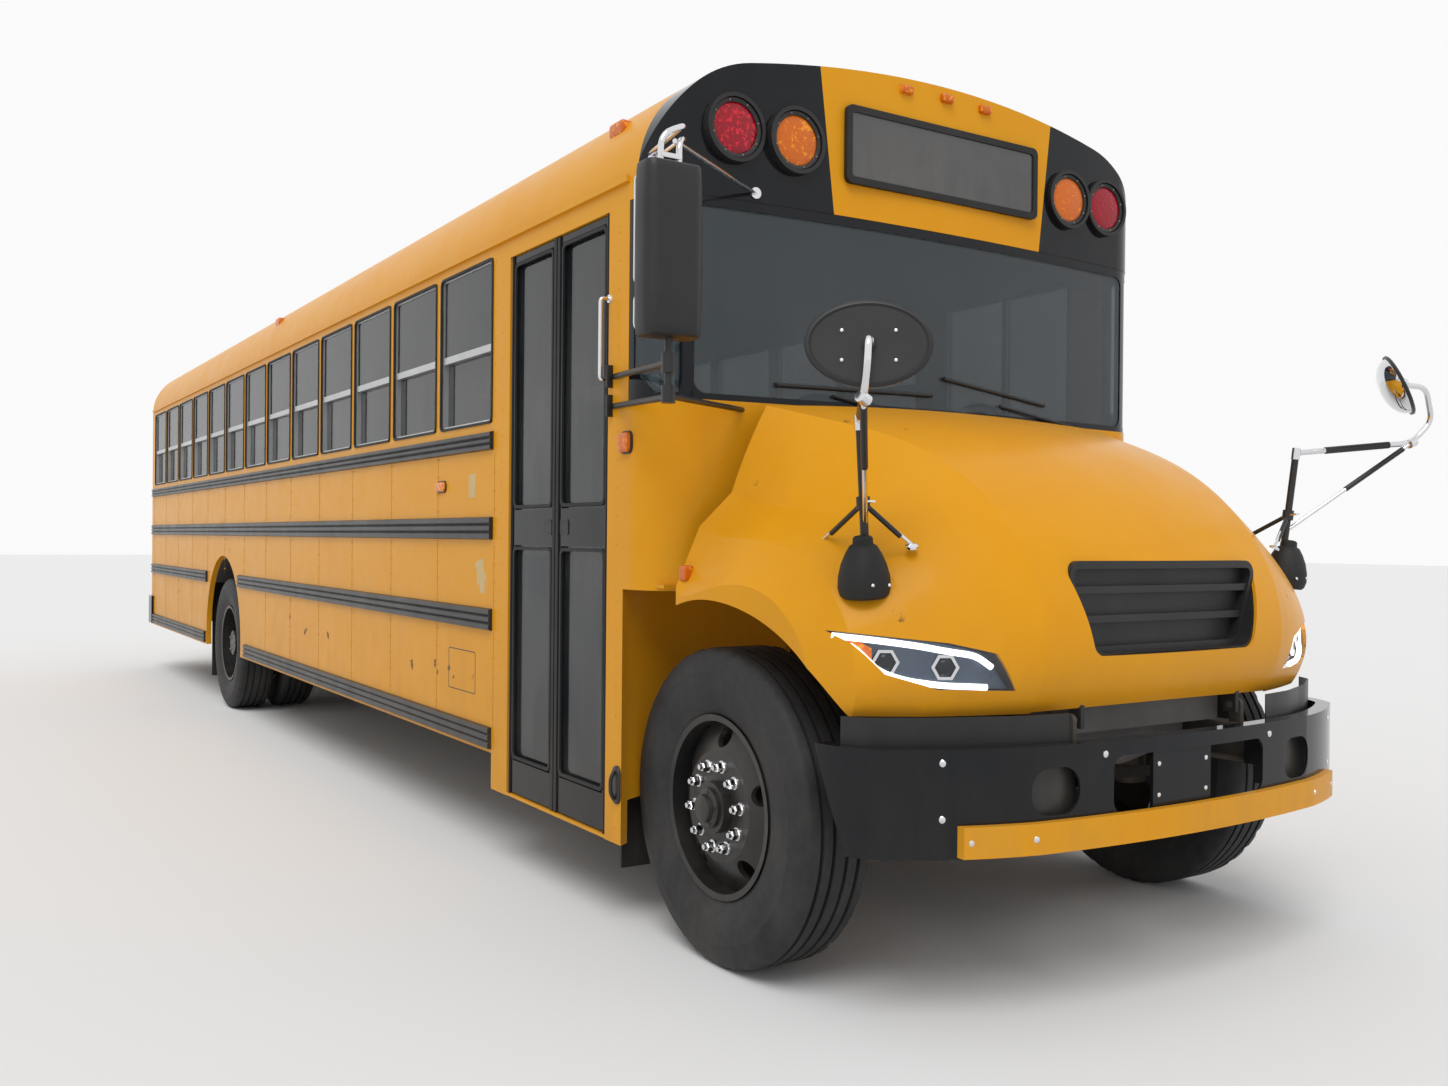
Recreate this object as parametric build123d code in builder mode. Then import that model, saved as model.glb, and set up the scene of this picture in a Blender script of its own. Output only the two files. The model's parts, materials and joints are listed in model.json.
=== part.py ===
"""School bus with a forward hood: chassis, hollow body, doors, hood, steering and wheels.

Frame: +X forward, +Y to the bus's left, +Z up, millimetres.
The origin is on the ground, midway between the bumpers' faces.
"""
import os
from math import cos, radians, sin

from build123d import *

os.makedirs("parts", exist_ok=True)

# Axles and wheels
FRONT_AXLE_X = 4940.0
WHEELBASE = 7180.0
REAR_AXLE_X = FRONT_AXLE_X - WHEELBASE
TYRE_RADIUS = 515.0
TYRE_HALF = 138.0
TREAD_HALF = 107.0
RIM_RADIUS = 286.0
RIM_FLANGE_RADIUS = 298.0
RIM_HALF = 115.0
RIM_SHEET = 9.0
FRONT_WHEEL_Y = 1000.0
REAR_OUTER_WHEEL_Y = 1052.0
DUAL_SPACING = 330.0
KINGPIN_Y = 880.0
KINGPIN_RADIUS = 22.0
KINGPIN_HALF_LENGTH = 112.0
SPINDLE_RADIUS = 40.0
RUNNING_GAP = 0.05
SEAT_GAP = 0.3
WHEEL_SWING = 566.0
WHEELHOUSE_SHEET = 12.0

# Body shell
BODY_HALF = 1219.0
WALL = 40.0
SKIRT_Z = 458.0
FLOOR_Z = 1020.0
FLOOR_PLATE = 40.0
SILL_BEAM = 45.0
EAVE_Z = 2620.0
ROOF_SIDE_RADIUS = 420.0
ROOF_SIDE_TURN = 80.0
REAR_FACE_X = -5860.0
REAR_CORNER = 110.0
REAR_CAP_DEPTH = 170.0
POST_FRONT_X = FRONT_AXLE_X - 425.0
NOSE_X = FRONT_AXLE_X - 160.0
NOSE_SIDE_X = FRONT_AXLE_X - 235.0
NOSE_CORNER = 200.0
LOW_POST_Z = 306.0
LOW_PANEL_X = FRONT_AXLE_X - 1630.0

# Passenger windows
WINDOW_COUNT = 13
WINDOW_PITCH = 687.0
WINDOW_WIDTH = 627.0
WINDOW_FRONT_X = FRONT_AXLE_X - 1645.0
WINDOW_SILL_Z = 1873.0
WINDOW_SPLIT_Z = 2199.0
WINDOW_TOP_Z = 2578.0
DRIVER_WINDOW_WIDTH = 830.0
SASH = 20.0
SASH_DEPTH = 34.0
SASH_INSET = 5.0
UPPER_PANE_INSET = 12.0
LOWER_PANE_INSET = 32.0
GLASS = 5.0

# Entrance door
DOOR_FRONT_X = FRONT_AXLE_X - 575.0
DOOR_WIDTH = 888.0
DOOR_MIDDLE_X = DOOR_FRONT_X - DOOR_WIDTH / 2.0
DOOR_TOP_Z = 2545.0
DOOR_BOTTOM_Z = 320.0
DOOR_EDGE_GAP = 6.0
DOOR_MEETING_GAP = 12.0
LEAF_THICKNESS = 36.0
LEAF_RECESS = 10.0
LEAF_STILE = 38.0
LEAF_BAND_BOTTOM_Z = 1349.0
LEAF_BAND_TOP_Z = 1494.0
LEAF_FOOT = 140.0
DOOR_PIN_RADIUS = 8.0
DOOR_PIN_INSET = 13.0
DOOR_PIN_LENGTH = 12.0
STEP_RISE = 233.0
STEP_RUN = 210.0
STEP_PLATE = 12.0

# Wheel openings
REAR_ARCH_RADIUS = 650.0
REAR_ARCH_Z = 560.0
REAR_HOUSE_INNER_Y = 535.0
FRONT_ARCH_RADIUS = 640.0
FRONT_ARCH_X = FRONT_AXLE_X + 60.0
FRONT_ARCH_Z = 550.0
FRONT_ARCH_INNER_Y = 700.0

# Front end
HOOD_REAR_X = FRONT_AXLE_X - 120.0
HOOD_BASE_Z = 880.0
HOOD_SHEET = 10.0
HOOD_INNER_RADIUS = 250.0
HOOD_PIN_X = FRONT_AXLE_X + 840.0
HOOD_PIN_Z = 850.0
HOOD_PIN_Y = 400.0
HOOD_PIN_RADIUS = 12.0
COWL_TOP_Z = 1858.0
COWL_WALL = 30.0
SHELF_Z = 1214.0
CAP_BOTTOM_Z = 2555.0
GLASS_BOTTOM_Z = 1880.0
GLASS_TOP_Z = 2520.0
WINDSCREEN_HALF = 1075.0

# Chassis
RAIL_OUTER_Y = 435.0
RAIL_FLANGE = 70.0
RAIL_WEB = 9.0
RAIL_BOTTOM_Z = 665.0
RAIL_TOP_Z = FLOOR_Z - FLOOR_PLATE - SILL_BEAM
RAIL_REAR_X = -5800.0

# Bumpers
BUMPER_FRONT_X = 5925.0
BUMPER_END_X = FRONT_AXLE_X + 560.0
BUMPER_BOTTOM_Z = 500.0
BUMPER_TOP_Z = 805.0
BUMPER_SHEET = 8.0
BUMPER_FLANGE = 50.0
BUMPER_MOUNT_X = BUMPER_FRONT_X - 90.0
BUMPER_MOUNT_LENGTH = 68.0
STRIP_THICKNESS = 25.0
STRIP_HALF = 870.0
REAR_BUMPER_X = -5950.0
REAR_BUMPER_END_X = REAR_FACE_X + REAR_CAP_DEPTH + 60.0

# How far a cutting solid runs past what it cuts
OVERCUT = 10.0
PIN_HOLE_SPARE = 6.0

SIDES = (-1.0, 1.0)


def write(piece, name):
    """Label a finished piece and write it as one STEP file."""
    piece.part.label = name
    export_step(piece.part, f"parts/{name}.step")


def body_section(inset, bottom):
    """Closed cross-section of the body, drawn inset by a wall's thickness."""
    half = BODY_HALF - inset
    radius = ROOF_SIDE_RADIUS - inset
    centre_y = BODY_HALF - ROOF_SIDE_RADIUS
    turn = radians(ROOF_SIDE_TURN)
    mid_y = centre_y + radius * cos(turn / 2.0)
    mid_z = EAVE_Z + radius * sin(turn / 2.0)
    end_y = centre_y + radius * cos(turn)
    end_z = EAVE_Z + radius * sin(turn)
    crown_z = end_z + end_y * (1.0 - sin(turn)) / cos(turn)
    with BuildSketch() as section:
        with BuildLine():
            Line((-half, bottom), (half, bottom))
            Line((half, bottom), (half, EAVE_Z))
            ThreePointArc((half, EAVE_Z), (mid_y, mid_z), (end_y, end_z))
            ThreePointArc((end_y, end_z), (0.0, crown_z), (-end_y, end_z))
            ThreePointArc((-end_y, end_z), (-mid_y, mid_z), (-half, EAVE_Z))
            Line((-half, EAVE_Z), (-half, bottom))
        make_face()
    return section.sketch


def nose_plan(inset, rear_x):
    """Plan outline of the body's nose: a bowed front with round corners."""
    half = BODY_HALF - inset
    with BuildSketch() as plan:
        with BuildLine():
            Line((rear_x, half), (rear_x, -half))
            Line((rear_x, -half), (NOSE_SIDE_X - inset, -half))
            ThreePointArc((NOSE_SIDE_X - inset, -half), (NOSE_X - inset, 0.0), (NOSE_SIDE_X - inset, half))
            Line((NOSE_SIDE_X - inset, half), (rear_x, half))
        make_face()
        fillet(plan.vertices().group_by(Axis.X)[-1], NOSE_CORNER - inset)
    return plan.sketch


def nose_block(inset, rear_x, bottom, top):
    """Solid nose between two heights, cut to the body's cross-section."""
    with BuildPart() as block:
        with BuildSketch(Plane.XY.offset(bottom)):
            add(nose_plan(inset, rear_x))
        extrude(amount=top - bottom)
        with BuildSketch(Plane.YZ.offset(rear_x)):
            add(body_section(inset, 0.0))
        extrude(amount=NOSE_X - rear_x + WALL, mode=Mode.INTERSECT)
    return block.part


def front_arch_cut():
    """Side outline of the space in front of the body's lower post, above and around the tyre."""
    with BuildSketch() as arch:
        with BuildLine():
            Polyline(
                (FRONT_AXLE_X - 420.0, 0.0),
                (FRONT_AXLE_X - 420.0, LOW_POST_Z),
                (FRONT_AXLE_X - 449.0, 520.0),
                (FRONT_AXLE_X - 449.0, 660.0),
            )
            ThreePointArc(
                (FRONT_AXLE_X - 449.0, 660.0),
                (FRONT_AXLE_X - 345.0, 900.0),
                (FRONT_AXLE_X - 171.0, SHELF_Z),
            )
            Polyline(
                (FRONT_AXLE_X - 171.0, SHELF_Z),
                (FRONT_AXLE_X + 400.0, SHELF_Z),
                (FRONT_AXLE_X + 400.0, 0.0),
                (FRONT_AXLE_X - 420.0, 0.0),
            )
        make_face()
    return arch.sketch


# Chassis frame: two channel rails, cross-members, hood hinge lugs and spring hangers
CROSS_MEMBER_X = (-5600.0, -4300.0, -3000.0, -1500.0, 0.0, 1500.0, 3000.0)
FRONT_HORN_X = FRONT_AXLE_X + 600.0
HORN_TOP_Z = 790.0
FRONT_EYE_Z = 610.0
REAR_EYE_Z = 648.0
FRONT_SPRING_HALF = 600.0
REAR_SPRING_HALF = 700.0
HANGERS = (
    ("front axle rear eye", FRONT_AXLE_X - FRONT_SPRING_HALF, FRONT_EYE_Z),
    ("front axle front eye", FRONT_AXLE_X + FRONT_SPRING_HALF, FRONT_EYE_Z),
    ("rear axle rear eye", REAR_AXLE_X - REAR_SPRING_HALF, REAR_EYE_Z),
    ("rear axle front eye", REAR_AXLE_X + REAR_SPRING_HALF, REAR_EYE_Z),
)
HANGER_LENGTH = 70.0
HANGER_WIDTH = 60.0
SPRING_Y = RAIL_OUTER_Y - RAIL_FLANGE / 2.0
HANGER_LAP = 3.0
LUG_WIDTH = 16.0
LUG_RADIUS = 22.0
HOOD_PIN_LENGTH = 40.0
ENGINE_HALF = 320.0
ENGINE_MOUNTS_X = (FRONT_AXLE_X - 50.0, FRONT_AXLE_X + 300.0)
ENGINE_MOUNT_Z = 760.0
with BuildPart() as chassis_frame:
    with BuildSketch(Plane.XZ.offset(-RAIL_OUTER_Y)):
        with BuildLine():
            Polyline(
                (RAIL_REAR_X, RAIL_BOTTOM_Z),
                (BUMPER_MOUNT_X, RAIL_BOTTOM_Z),
                (BUMPER_MOUNT_X, HORN_TOP_Z),
                (FRONT_HORN_X, HORN_TOP_Z),
                (FRONT_HORN_X - 250.0, RAIL_TOP_Z),
                (RAIL_REAR_X, RAIL_TOP_Z),
                close=True,
            )
        make_face()
    extrude(amount=RAIL_FLANGE)
    with BuildSketch(Plane.XZ.offset(-RAIL_OUTER_Y + RAIL_WEB)):
        with BuildLine():
            Polyline(
                (RAIL_REAR_X, RAIL_BOTTOM_Z + RAIL_WEB),
                (BUMPER_MOUNT_X, RAIL_BOTTOM_Z + RAIL_WEB),
                (BUMPER_MOUNT_X, HORN_TOP_Z - RAIL_WEB),
                (FRONT_HORN_X - 3.0, HORN_TOP_Z - RAIL_WEB),
                (FRONT_HORN_X - 253.0, RAIL_TOP_Z - RAIL_WEB),
                (RAIL_REAR_X, RAIL_TOP_Z - RAIL_WEB),
                close=True,
            )
        make_face()
    extrude(amount=RAIL_FLANGE, mode=Mode.SUBTRACT)
    mirror(about=Plane.XZ)
    for cross_x in CROSS_MEMBER_X:
        with Locations((cross_x, 0.0, RAIL_TOP_Z - RAIL_WEB - 30.0)):
            Box(90.0, 2.0 * (RAIL_OUTER_Y - RAIL_WEB), 60.0)
    for name, hanger_x, eye_z in HANGERS:
        for side in SIDES:
            hanger_top_z = RAIL_BOTTOM_Z + HANGER_LAP
            with Locations((hanger_x, side * SPRING_Y, (eye_z + hanger_top_z) / 2.0)):
                Box(HANGER_LENGTH, HANGER_WIDTH, hanger_top_z - eye_z)
    for side in SIDES:
        with Locations((HOOD_PIN_X, side * HOOD_PIN_Y, (HORN_TOP_Z + HOOD_PIN_Z) / 2.0 - 10.0)):
            Box(2.0 * LUG_RADIUS, LUG_WIDTH, HOOD_PIN_Z - HORN_TOP_Z + 20.0)
        with BuildSketch(Plane.XZ.offset(-side * HOOD_PIN_Y)):
            with Locations((HOOD_PIN_X, HOOD_PIN_Z)):
                Circle(LUG_RADIUS)
        extrude(amount=LUG_WIDTH / 2.0, both=True)
        with BuildSketch(Plane.XZ.offset(-side * HOOD_PIN_Y)):
            with Locations((HOOD_PIN_X, HOOD_PIN_Z)):
                Circle(HOOD_PIN_RADIUS)
        extrude(amount=side * HOOD_PIN_LENGTH)
        for mount_x in ENGINE_MOUNTS_X:
            with Locations((mount_x, side * (ENGINE_HALF + RAIL_OUTER_Y - RAIL_WEB) / 2.0, ENGINE_MOUNT_Z)):
                Box(90.0, RAIL_OUTER_Y - RAIL_WEB - ENGINE_HALF, 50.0)
write(chassis_frame, "chassis_frame")


SPRING_THICKNESS = 28.0
SPRING_WIDTH = 76.0
SPRING_BELLY = 1.6


def spring_leaf(axle_x, half_length, side, low_z, eye_z):
    """One leaf pack: a band bent as an arc between its two eyes."""
    with BuildPart() as leaf:
        with BuildSketch(Plane.XZ.offset(-side * SPRING_Y)):
            with BuildLine():
                ThreePointArc((axle_x - half_length, eye_z), (axle_x, low_z), (axle_x + half_length, eye_z))
                Line((axle_x + half_length, eye_z), (axle_x + half_length, eye_z - SPRING_THICKNESS))
                ThreePointArc(
                    (axle_x + half_length, eye_z - SPRING_THICKNESS),
                    (axle_x, low_z - SPRING_THICKNESS * SPRING_BELLY),
                    (axle_x - half_length, eye_z - SPRING_THICKNESS),
                )
                Line((axle_x - half_length, eye_z - SPRING_THICKNESS), (axle_x - half_length, eye_z))
            make_face()
        extrude(amount=SPRING_WIDTH / 2.0, both=True)
    return leaf.part


# Front axle: dropped beam with kingpins and leaf springs
BEAM_LOW_Z = 455.0
BEAM_HALF = 45.0
EYE_HALF = 60.0
EYE_RADIUS = 45.0
EYE_CLEARANCE = 2.0
FRONT_SPRING_LOW_Z = BEAM_LOW_Z + BEAM_HALF + SPRING_THICKNESS * SPRING_BELLY
BEAM_RISE_Y = SPRING_Y + 80.0
front_springs = [
    spring_leaf(FRONT_AXLE_X, FRONT_SPRING_HALF, side, FRONT_SPRING_LOW_Z, FRONT_EYE_Z) for side in SIDES
]
with BuildPart() as front_axle:
    with BuildSketch(Plane.YZ.offset(FRONT_AXLE_X - BEAM_HALF)):
        with BuildLine():
            Polyline(
                (0.0, BEAM_LOW_Z + BEAM_HALF),
                (BEAM_RISE_Y, BEAM_LOW_Z + BEAM_HALF),
                (KINGPIN_Y - 90.0, TYRE_RADIUS + EYE_HALF),
                (KINGPIN_Y, TYRE_RADIUS + EYE_HALF),
                (KINGPIN_Y, TYRE_RADIUS - EYE_HALF),
                (KINGPIN_Y - 60.0, TYRE_RADIUS - EYE_HALF),
                (BEAM_RISE_Y, BEAM_LOW_Z - BEAM_HALF),
                (0.0, BEAM_LOW_Z - BEAM_HALF),
                close=True,
            )
        make_face()
    extrude(amount=2.0 * BEAM_HALF)
    with BuildSketch(Plane.XY.offset(TYRE_RADIUS - EYE_HALF)):
        with Locations((FRONT_AXLE_X, KINGPIN_Y)):
            Circle(EYE_RADIUS)
    extrude(amount=2.0 * EYE_HALF)
    with BuildSketch(Plane.XY.offset(TYRE_RADIUS - KINGPIN_HALF_LENGTH)):
        with Locations((FRONT_AXLE_X, KINGPIN_Y)):
            Circle(KINGPIN_RADIUS)
    extrude(amount=2.0 * KINGPIN_HALF_LENGTH)
    mirror(about=Plane.XZ)
    add(front_springs)
write(front_axle, "front_axle")

# Rear axle: banjo housing with spindles, leaf springs and the drive shaft's yoke
HOUSING_RADIUS = 62.0
BANJO_RADIUS = 195.0
BANJO_HALF = 75.0
REAR_SPINDLE_RADIUS = 50.0
REAR_SPINDLE_END = 1120.0
REAR_SPRING_LOW_Z = TYRE_RADIUS + HOUSING_RADIUS + SPRING_THICKNESS * SPRING_BELLY - 1.0
SHAFT_RADIUS = 45.0
SHAFT_FRONT_X = FRONT_AXLE_X - 1150.0
SHAFT_FRONT_Z = 760.0
rear_springs = [
    spring_leaf(REAR_AXLE_X, REAR_SPRING_HALF, side, REAR_SPRING_LOW_Z, REAR_EYE_Z) for side in SIDES
]
shaft_start = Vector(REAR_AXLE_X + BANJO_RADIUS - 20.0, 0.0, TYRE_RADIUS + 40.0)
shaft_end = Vector(SHAFT_FRONT_X - 6.0, 0.0, SHAFT_FRONT_Z)
with BuildPart() as rear_axle:
    with BuildSketch(Plane.XZ):
        with Locations((REAR_AXLE_X, TYRE_RADIUS)):
            Circle(REAR_SPINDLE_RADIUS)
    extrude(amount=REAR_SPINDLE_END, both=True)
    with BuildSketch(Plane.XZ):
        with Locations((REAR_AXLE_X, TYRE_RADIUS)):
            Circle(HOUSING_RADIUS)
    extrude(amount=REAR_OUTER_WHEEL_Y - DUAL_SPACING - RIM_HALF - 10.0, both=True)
    with BuildSketch(Plane.XZ):
        with Locations((REAR_AXLE_X, TYRE_RADIUS)):
            Circle(BANJO_RADIUS)
    extrude(amount=BANJO_HALF, both=True)
    with BuildSketch(Plane(origin=shaft_start, z_dir=shaft_end - shaft_start)):
        Circle(SHAFT_RADIUS)
    extrude(amount=(shaft_end - shaft_start).length)
    add(rear_springs)
write(rear_axle, "rear_axle")

# Engine, gearbox and radiator: plain masses at their real places
ENGINE_FRONT_X = FRONT_AXLE_X + 690.0
ENGINE_REAR_X = FRONT_AXLE_X - 100.0
ENGINE_TOP_Z = 1420.0
ENGINE_BOTTOM_Z = 600.0
GEARBOX_HALF = 210.0
GEARBOX_TOP_Z = 925.0
RADIATOR_FRONT_X = FRONT_AXLE_X + 800.0
RADIATOR_DEPTH = 70.0
RADIATOR_HALF = 355.0
RADIATOR_BOTTOM_Z = 800.0
RADIATOR_TOP_Z = 1390.0
FAN_RADIUS = 250.0
FAN_Z = 1080.0
with BuildPart() as engine_block:
    with BuildSketch(Plane.XZ):
        with BuildLine():
            Polyline(
                (ENGINE_FRONT_X, ENGINE_BOTTOM_Z + 120.0),
                (ENGINE_FRONT_X, ENGINE_TOP_Z - 160.0),
                (ENGINE_FRONT_X - 140.0, ENGINE_TOP_Z),
                (ENGINE_REAR_X, ENGINE_TOP_Z),
                (ENGINE_REAR_X, ENGINE_BOTTOM_Z),
                (ENGINE_FRONT_X - 240.0, ENGINE_BOTTOM_Z),
                close=True,
            )
        make_face()
    extrude(amount=ENGINE_HALF, both=True)
    with BuildSketch(Plane.YZ.offset(SHAFT_FRONT_X)):
        with Locations((0.0, (GEARBOX_TOP_Z + ENGINE_BOTTOM_Z) / 2.0)):
            RectangleRounded(2.0 * GEARBOX_HALF, GEARBOX_TOP_Z - ENGINE_BOTTOM_Z, 80.0)
    extrude(amount=ENGINE_REAR_X - SHAFT_FRONT_X)
    with BuildSketch(Plane.YZ.offset(ENGINE_FRONT_X)):
        with Locations((0.0, FAN_Z)):
            Circle(FAN_RADIUS)
    extrude(amount=RADIATOR_FRONT_X - RADIATOR_DEPTH - ENGINE_FRONT_X)
    with BuildSketch(Plane.YZ.offset(RADIATOR_FRONT_X - RADIATOR_DEPTH)):
        with Locations((0.0, (RADIATOR_BOTTOM_Z + RADIATOR_TOP_Z) / 2.0)):
            Rectangle(2.0 * RADIATOR_HALF, RADIATOR_TOP_Z - RADIATOR_BOTTOM_Z)
    extrude(amount=RADIATOR_DEPTH)
write(engine_block, "engine_block")
# Fuel tank slung from the right rail
TANK_REAR_X = 150.0
TANK_LENGTH = 1250.0
TANK_BOTTOM_Z = 480.0
TANK_TOP_Z = 900.0
TANK_OUTER_Y = 1130.0
with BuildPart() as fuel_tank:
    with BuildSketch(Plane.YZ.offset(TANK_REAR_X)):
        with Locations((-(TANK_OUTER_Y + RAIL_OUTER_Y) / 2.0, (TANK_BOTTOM_Z + TANK_TOP_Z) / 2.0)):
            RectangleRounded(TANK_OUTER_Y - RAIL_OUTER_Y, TANK_TOP_Z - TANK_BOTTOM_Z, 90.0)
    extrude(amount=TANK_LENGTH)
write(fuel_tank, "fuel_tank")

# Exhaust: muffler and tailpipe inside the rails, hung under the cross-members
PIPE_RADIUS = 52.0
PIPE_Y = 270.0
PIPE_Z = 792.0
MUFFLER_RADIUS = 105.0
MUFFLER_FRONT_X = 3000.0
MUFFLER_LENGTH = 1000.0
PIPE_REAR_X = REAR_FACE_X + WALL + 30.0
PIPE_OUTLET_Z = 440.0
with BuildPart() as exhaust:
    with BuildSketch(Plane.YZ.offset(PIPE_REAR_X)):
        with Locations((PIPE_Y, PIPE_Z)):
            Circle(PIPE_RADIUS)
            Circle(PIPE_RADIUS - 4.0, mode=Mode.SUBTRACT)
    extrude(amount=MUFFLER_FRONT_X - MUFFLER_LENGTH - PIPE_REAR_X)
    with BuildSketch(Plane.XY.offset(PIPE_OUTLET_Z)):
        with Locations((PIPE_REAR_X + PIPE_RADIUS, PIPE_Y)):
            Circle(PIPE_RADIUS)
    extrude(amount=PIPE_Z - PIPE_OUTLET_Z)
    with BuildSketch(Plane.YZ.offset(MUFFLER_FRONT_X - MUFFLER_LENGTH)):
        with Locations((PIPE_Y - 10.0, PIPE_Z - 40.0)):
            Circle(MUFFLER_RADIUS)
    extrude(amount=MUFFLER_LENGTH)
    for hanger_x in (CROSS_MEMBER_X[0], CROSS_MEMBER_X[2]):
        with Locations((hanger_x, PIPE_Y, (PIPE_Z + RAIL_TOP_Z - RAIL_WEB - 60.0) / 2.0 + 20.0)):
            Box(20.0, 30.0, RAIL_TOP_Z - RAIL_WEB - 60.0 - PIPE_Z - 40.0)
write(exhaust, "exhaust")

# Floor: plate on cross sills, rear wheelhouses and the entrance steps
FLOOR_REAR_X = REAR_FACE_X + WALL
FLOOR_FRONT_X = FRONT_AXLE_X - WHEEL_SWING - 2.0 * WHEELHOUSE_SHEET
FLOOR_HALF = BODY_HALF - WALL
SILL_SPACING = 687.0
SILL_COUNT = 14
SILL_WIDTH = 60.0
SILL_HALF = 1150.0
STEP_COUNT = 3
STEPS_OUTER_Y = FLOOR_HALF
STEPS_INNER_Y = STEPS_OUTER_Y - STEP_COUNT * STEP_RUN
STEPS_REAR_X = DOOR_FRONT_X - DOOR_WIDTH
STEPS_FRONT_X = FLOOR_FRONT_X - STEP_PLATE
THRESHOLD_OUTER_Y = BODY_HALF - 2.0
THRESHOLD_TOP_Z = DOOR_BOTTOM_Z
REAR_HOUSE_SHEET = 10.0


def step_outline(drop):
    """Stair outline in the YZ plane, lowered by a sheet's thickness."""
    points = [(-STEPS_OUTER_Y + drop, THRESHOLD_TOP_Z - drop)]
    for number in range(STEP_COUNT):
        nose_y = -STEPS_OUTER_Y + (number + 1) * STEP_RUN + drop
        points.append((nose_y, THRESHOLD_TOP_Z + number * STEP_RISE - drop))
        points.append((nose_y, THRESHOLD_TOP_Z + (number + 1) * STEP_RISE - drop))
    return points


LEAF_ROOM_DEPTH = 62.0
LEAF_ROOM_SPARE = 52.0
with BuildPart() as leaf_room:
    door_middle_z = (DOOR_BOTTOM_Z + DOOR_TOP_Z) / 2.0
    with Locations((DOOR_MIDDLE_X, -(BODY_HALF - LEAF_ROOM_DEPTH / 2.0), door_middle_z)):
        Box(DOOR_WIDTH + 2.0 * LEAF_ROOM_SPARE, LEAF_ROOM_DEPTH, DOOR_TOP_Z - DOOR_BOTTOM_Z)
house_middle_y = (REAR_HOUSE_INNER_Y + FLOOR_HALF) / 2.0
house_width = FLOOR_HALF - REAR_HOUSE_INNER_Y
with BuildPart() as house_zone:
    for side in SIDES:
        with BuildSketch(Plane.XZ.offset(-side * house_middle_y)):
            with Locations((REAR_AXLE_X, REAR_ARCH_Z)):
                Circle(REAR_ARCH_RADIUS)
            with Locations((REAR_AXLE_X, FLOOR_Z - FLOOR_PLATE - REAR_ARCH_RADIUS)):
                Rectangle(4.0 * REAR_ARCH_RADIUS, 2.0 * REAR_ARCH_RADIUS, mode=Mode.SUBTRACT)
        extrude(amount=house_width / 2.0, both=True)
with BuildPart() as floor:
    with Locations(((FLOOR_REAR_X + FLOOR_FRONT_X) / 2.0, 0.0, FLOOR_Z - FLOOR_PLATE / 2.0)):
        Box(FLOOR_FRONT_X - FLOOR_REAR_X, 2.0 * FLOOR_HALF, FLOOR_PLATE)
    for number in range(SILL_COUNT):
        sill_x = FLOOR_REAR_X + 60.0 + number * SILL_SPACING
        if abs(sill_x - REAR_AXLE_X) < REAR_ARCH_RADIUS:
            sill_half = REAR_HOUSE_INNER_Y
        else:
            sill_half = SILL_HALF
        with Locations((sill_x, 0.0, FLOOR_Z - FLOOR_PLATE - SILL_BEAM / 2.0)):
            Box(SILL_WIDTH, 2.0 * sill_half, SILL_BEAM)
    with Locations(((STEPS_REAR_X + FLOOR_FRONT_X) / 2.0, -(STEPS_INNER_Y + FLOOR_HALF) / 2.0, FLOOR_Z)):
        Box(FLOOR_FRONT_X - STEPS_REAR_X, FLOOR_HALF - STEPS_INNER_Y, 400.0, mode=Mode.SUBTRACT)
    add(house_zone.part, mode=Mode.SUBTRACT)
    add(leaf_room.part, mode=Mode.SUBTRACT)
write(floor, "floor")

# Rear wheelhouses, entrance steps and the plate that closes the floor's front edge
with BuildPart() as steps_wheelhouses:
    add(house_zone.part)
    for side in SIDES:
        with BuildSketch(Plane.XZ.offset(-side * (house_middle_y + REAR_HOUSE_SHEET / 2.0))):
            with Locations((REAR_AXLE_X, REAR_ARCH_Z)):
                Circle(REAR_ARCH_RADIUS - REAR_HOUSE_SHEET)
        extrude(amount=house_width / 2.0, both=True, mode=Mode.SUBTRACT)
    with BuildSketch(Plane.YZ.offset(STEPS_REAR_X)):
        with BuildLine():
            Polyline(*step_outline(0.0), *reversed(step_outline(STEP_PLATE)), close=True)
        make_face()
    extrude(amount=STEPS_FRONT_X - STEPS_REAR_X)
    for wall_x in (STEPS_REAR_X - STEP_PLATE, STEPS_FRONT_X):
        with BuildSketch(Plane.YZ.offset(wall_x)):
            with BuildLine():
                Polyline(
                    (-STEPS_OUTER_Y, THRESHOLD_TOP_Z - STEP_PLATE),
                    *step_outline(STEP_PLATE)[1:],
                    (-STEPS_INNER_Y + STEP_PLATE, FLOOR_Z),
                    (-STEPS_OUTER_Y, FLOOR_Z),
                    close=True,
                )
            make_face()
        extrude(amount=STEP_PLATE)
    with BuildSketch(Plane.YZ.offset(FLOOR_FRONT_X - STEP_PLATE)):
        with Locations(((STEPS_INNER_Y + FLOOR_HALF) / 2.0, (SKIRT_Z + FLOOR_Z - FLOOR_PLATE) / 2.0)):
            Rectangle(FLOOR_HALF - STEPS_INNER_Y, FLOOR_Z - FLOOR_PLATE - SKIRT_Z)
    extrude(amount=STEP_PLATE)
    add(leaf_room.part, mode=Mode.SUBTRACT)
    add(floor.part, mode=Mode.SUBTRACT)
write(steps_wheelhouses, "steps_wheelhouses")

# Side walls: whole panels with their windows, wheel arch and, on the right, the doorway
SIDE_REAR_X = REAR_FACE_X + REAR_CAP_DEPTH
DRIVER_WINDOW_X = DOOR_FRONT_X - DRIVER_WINDOW_WIDTH / 2.0 - 30.0
window_first_x = WINDOW_FRONT_X - WINDOW_WIDTH / 2.0
window_centres = [window_first_x - number * WINDOW_PITCH for number in range(WINDOW_COUNT)]
window_height = WINDOW_TOP_Z - WINDOW_SILL_Z
window_middle = (WINDOW_TOP_Z + WINDOW_SILL_Z) / 2.0


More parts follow.
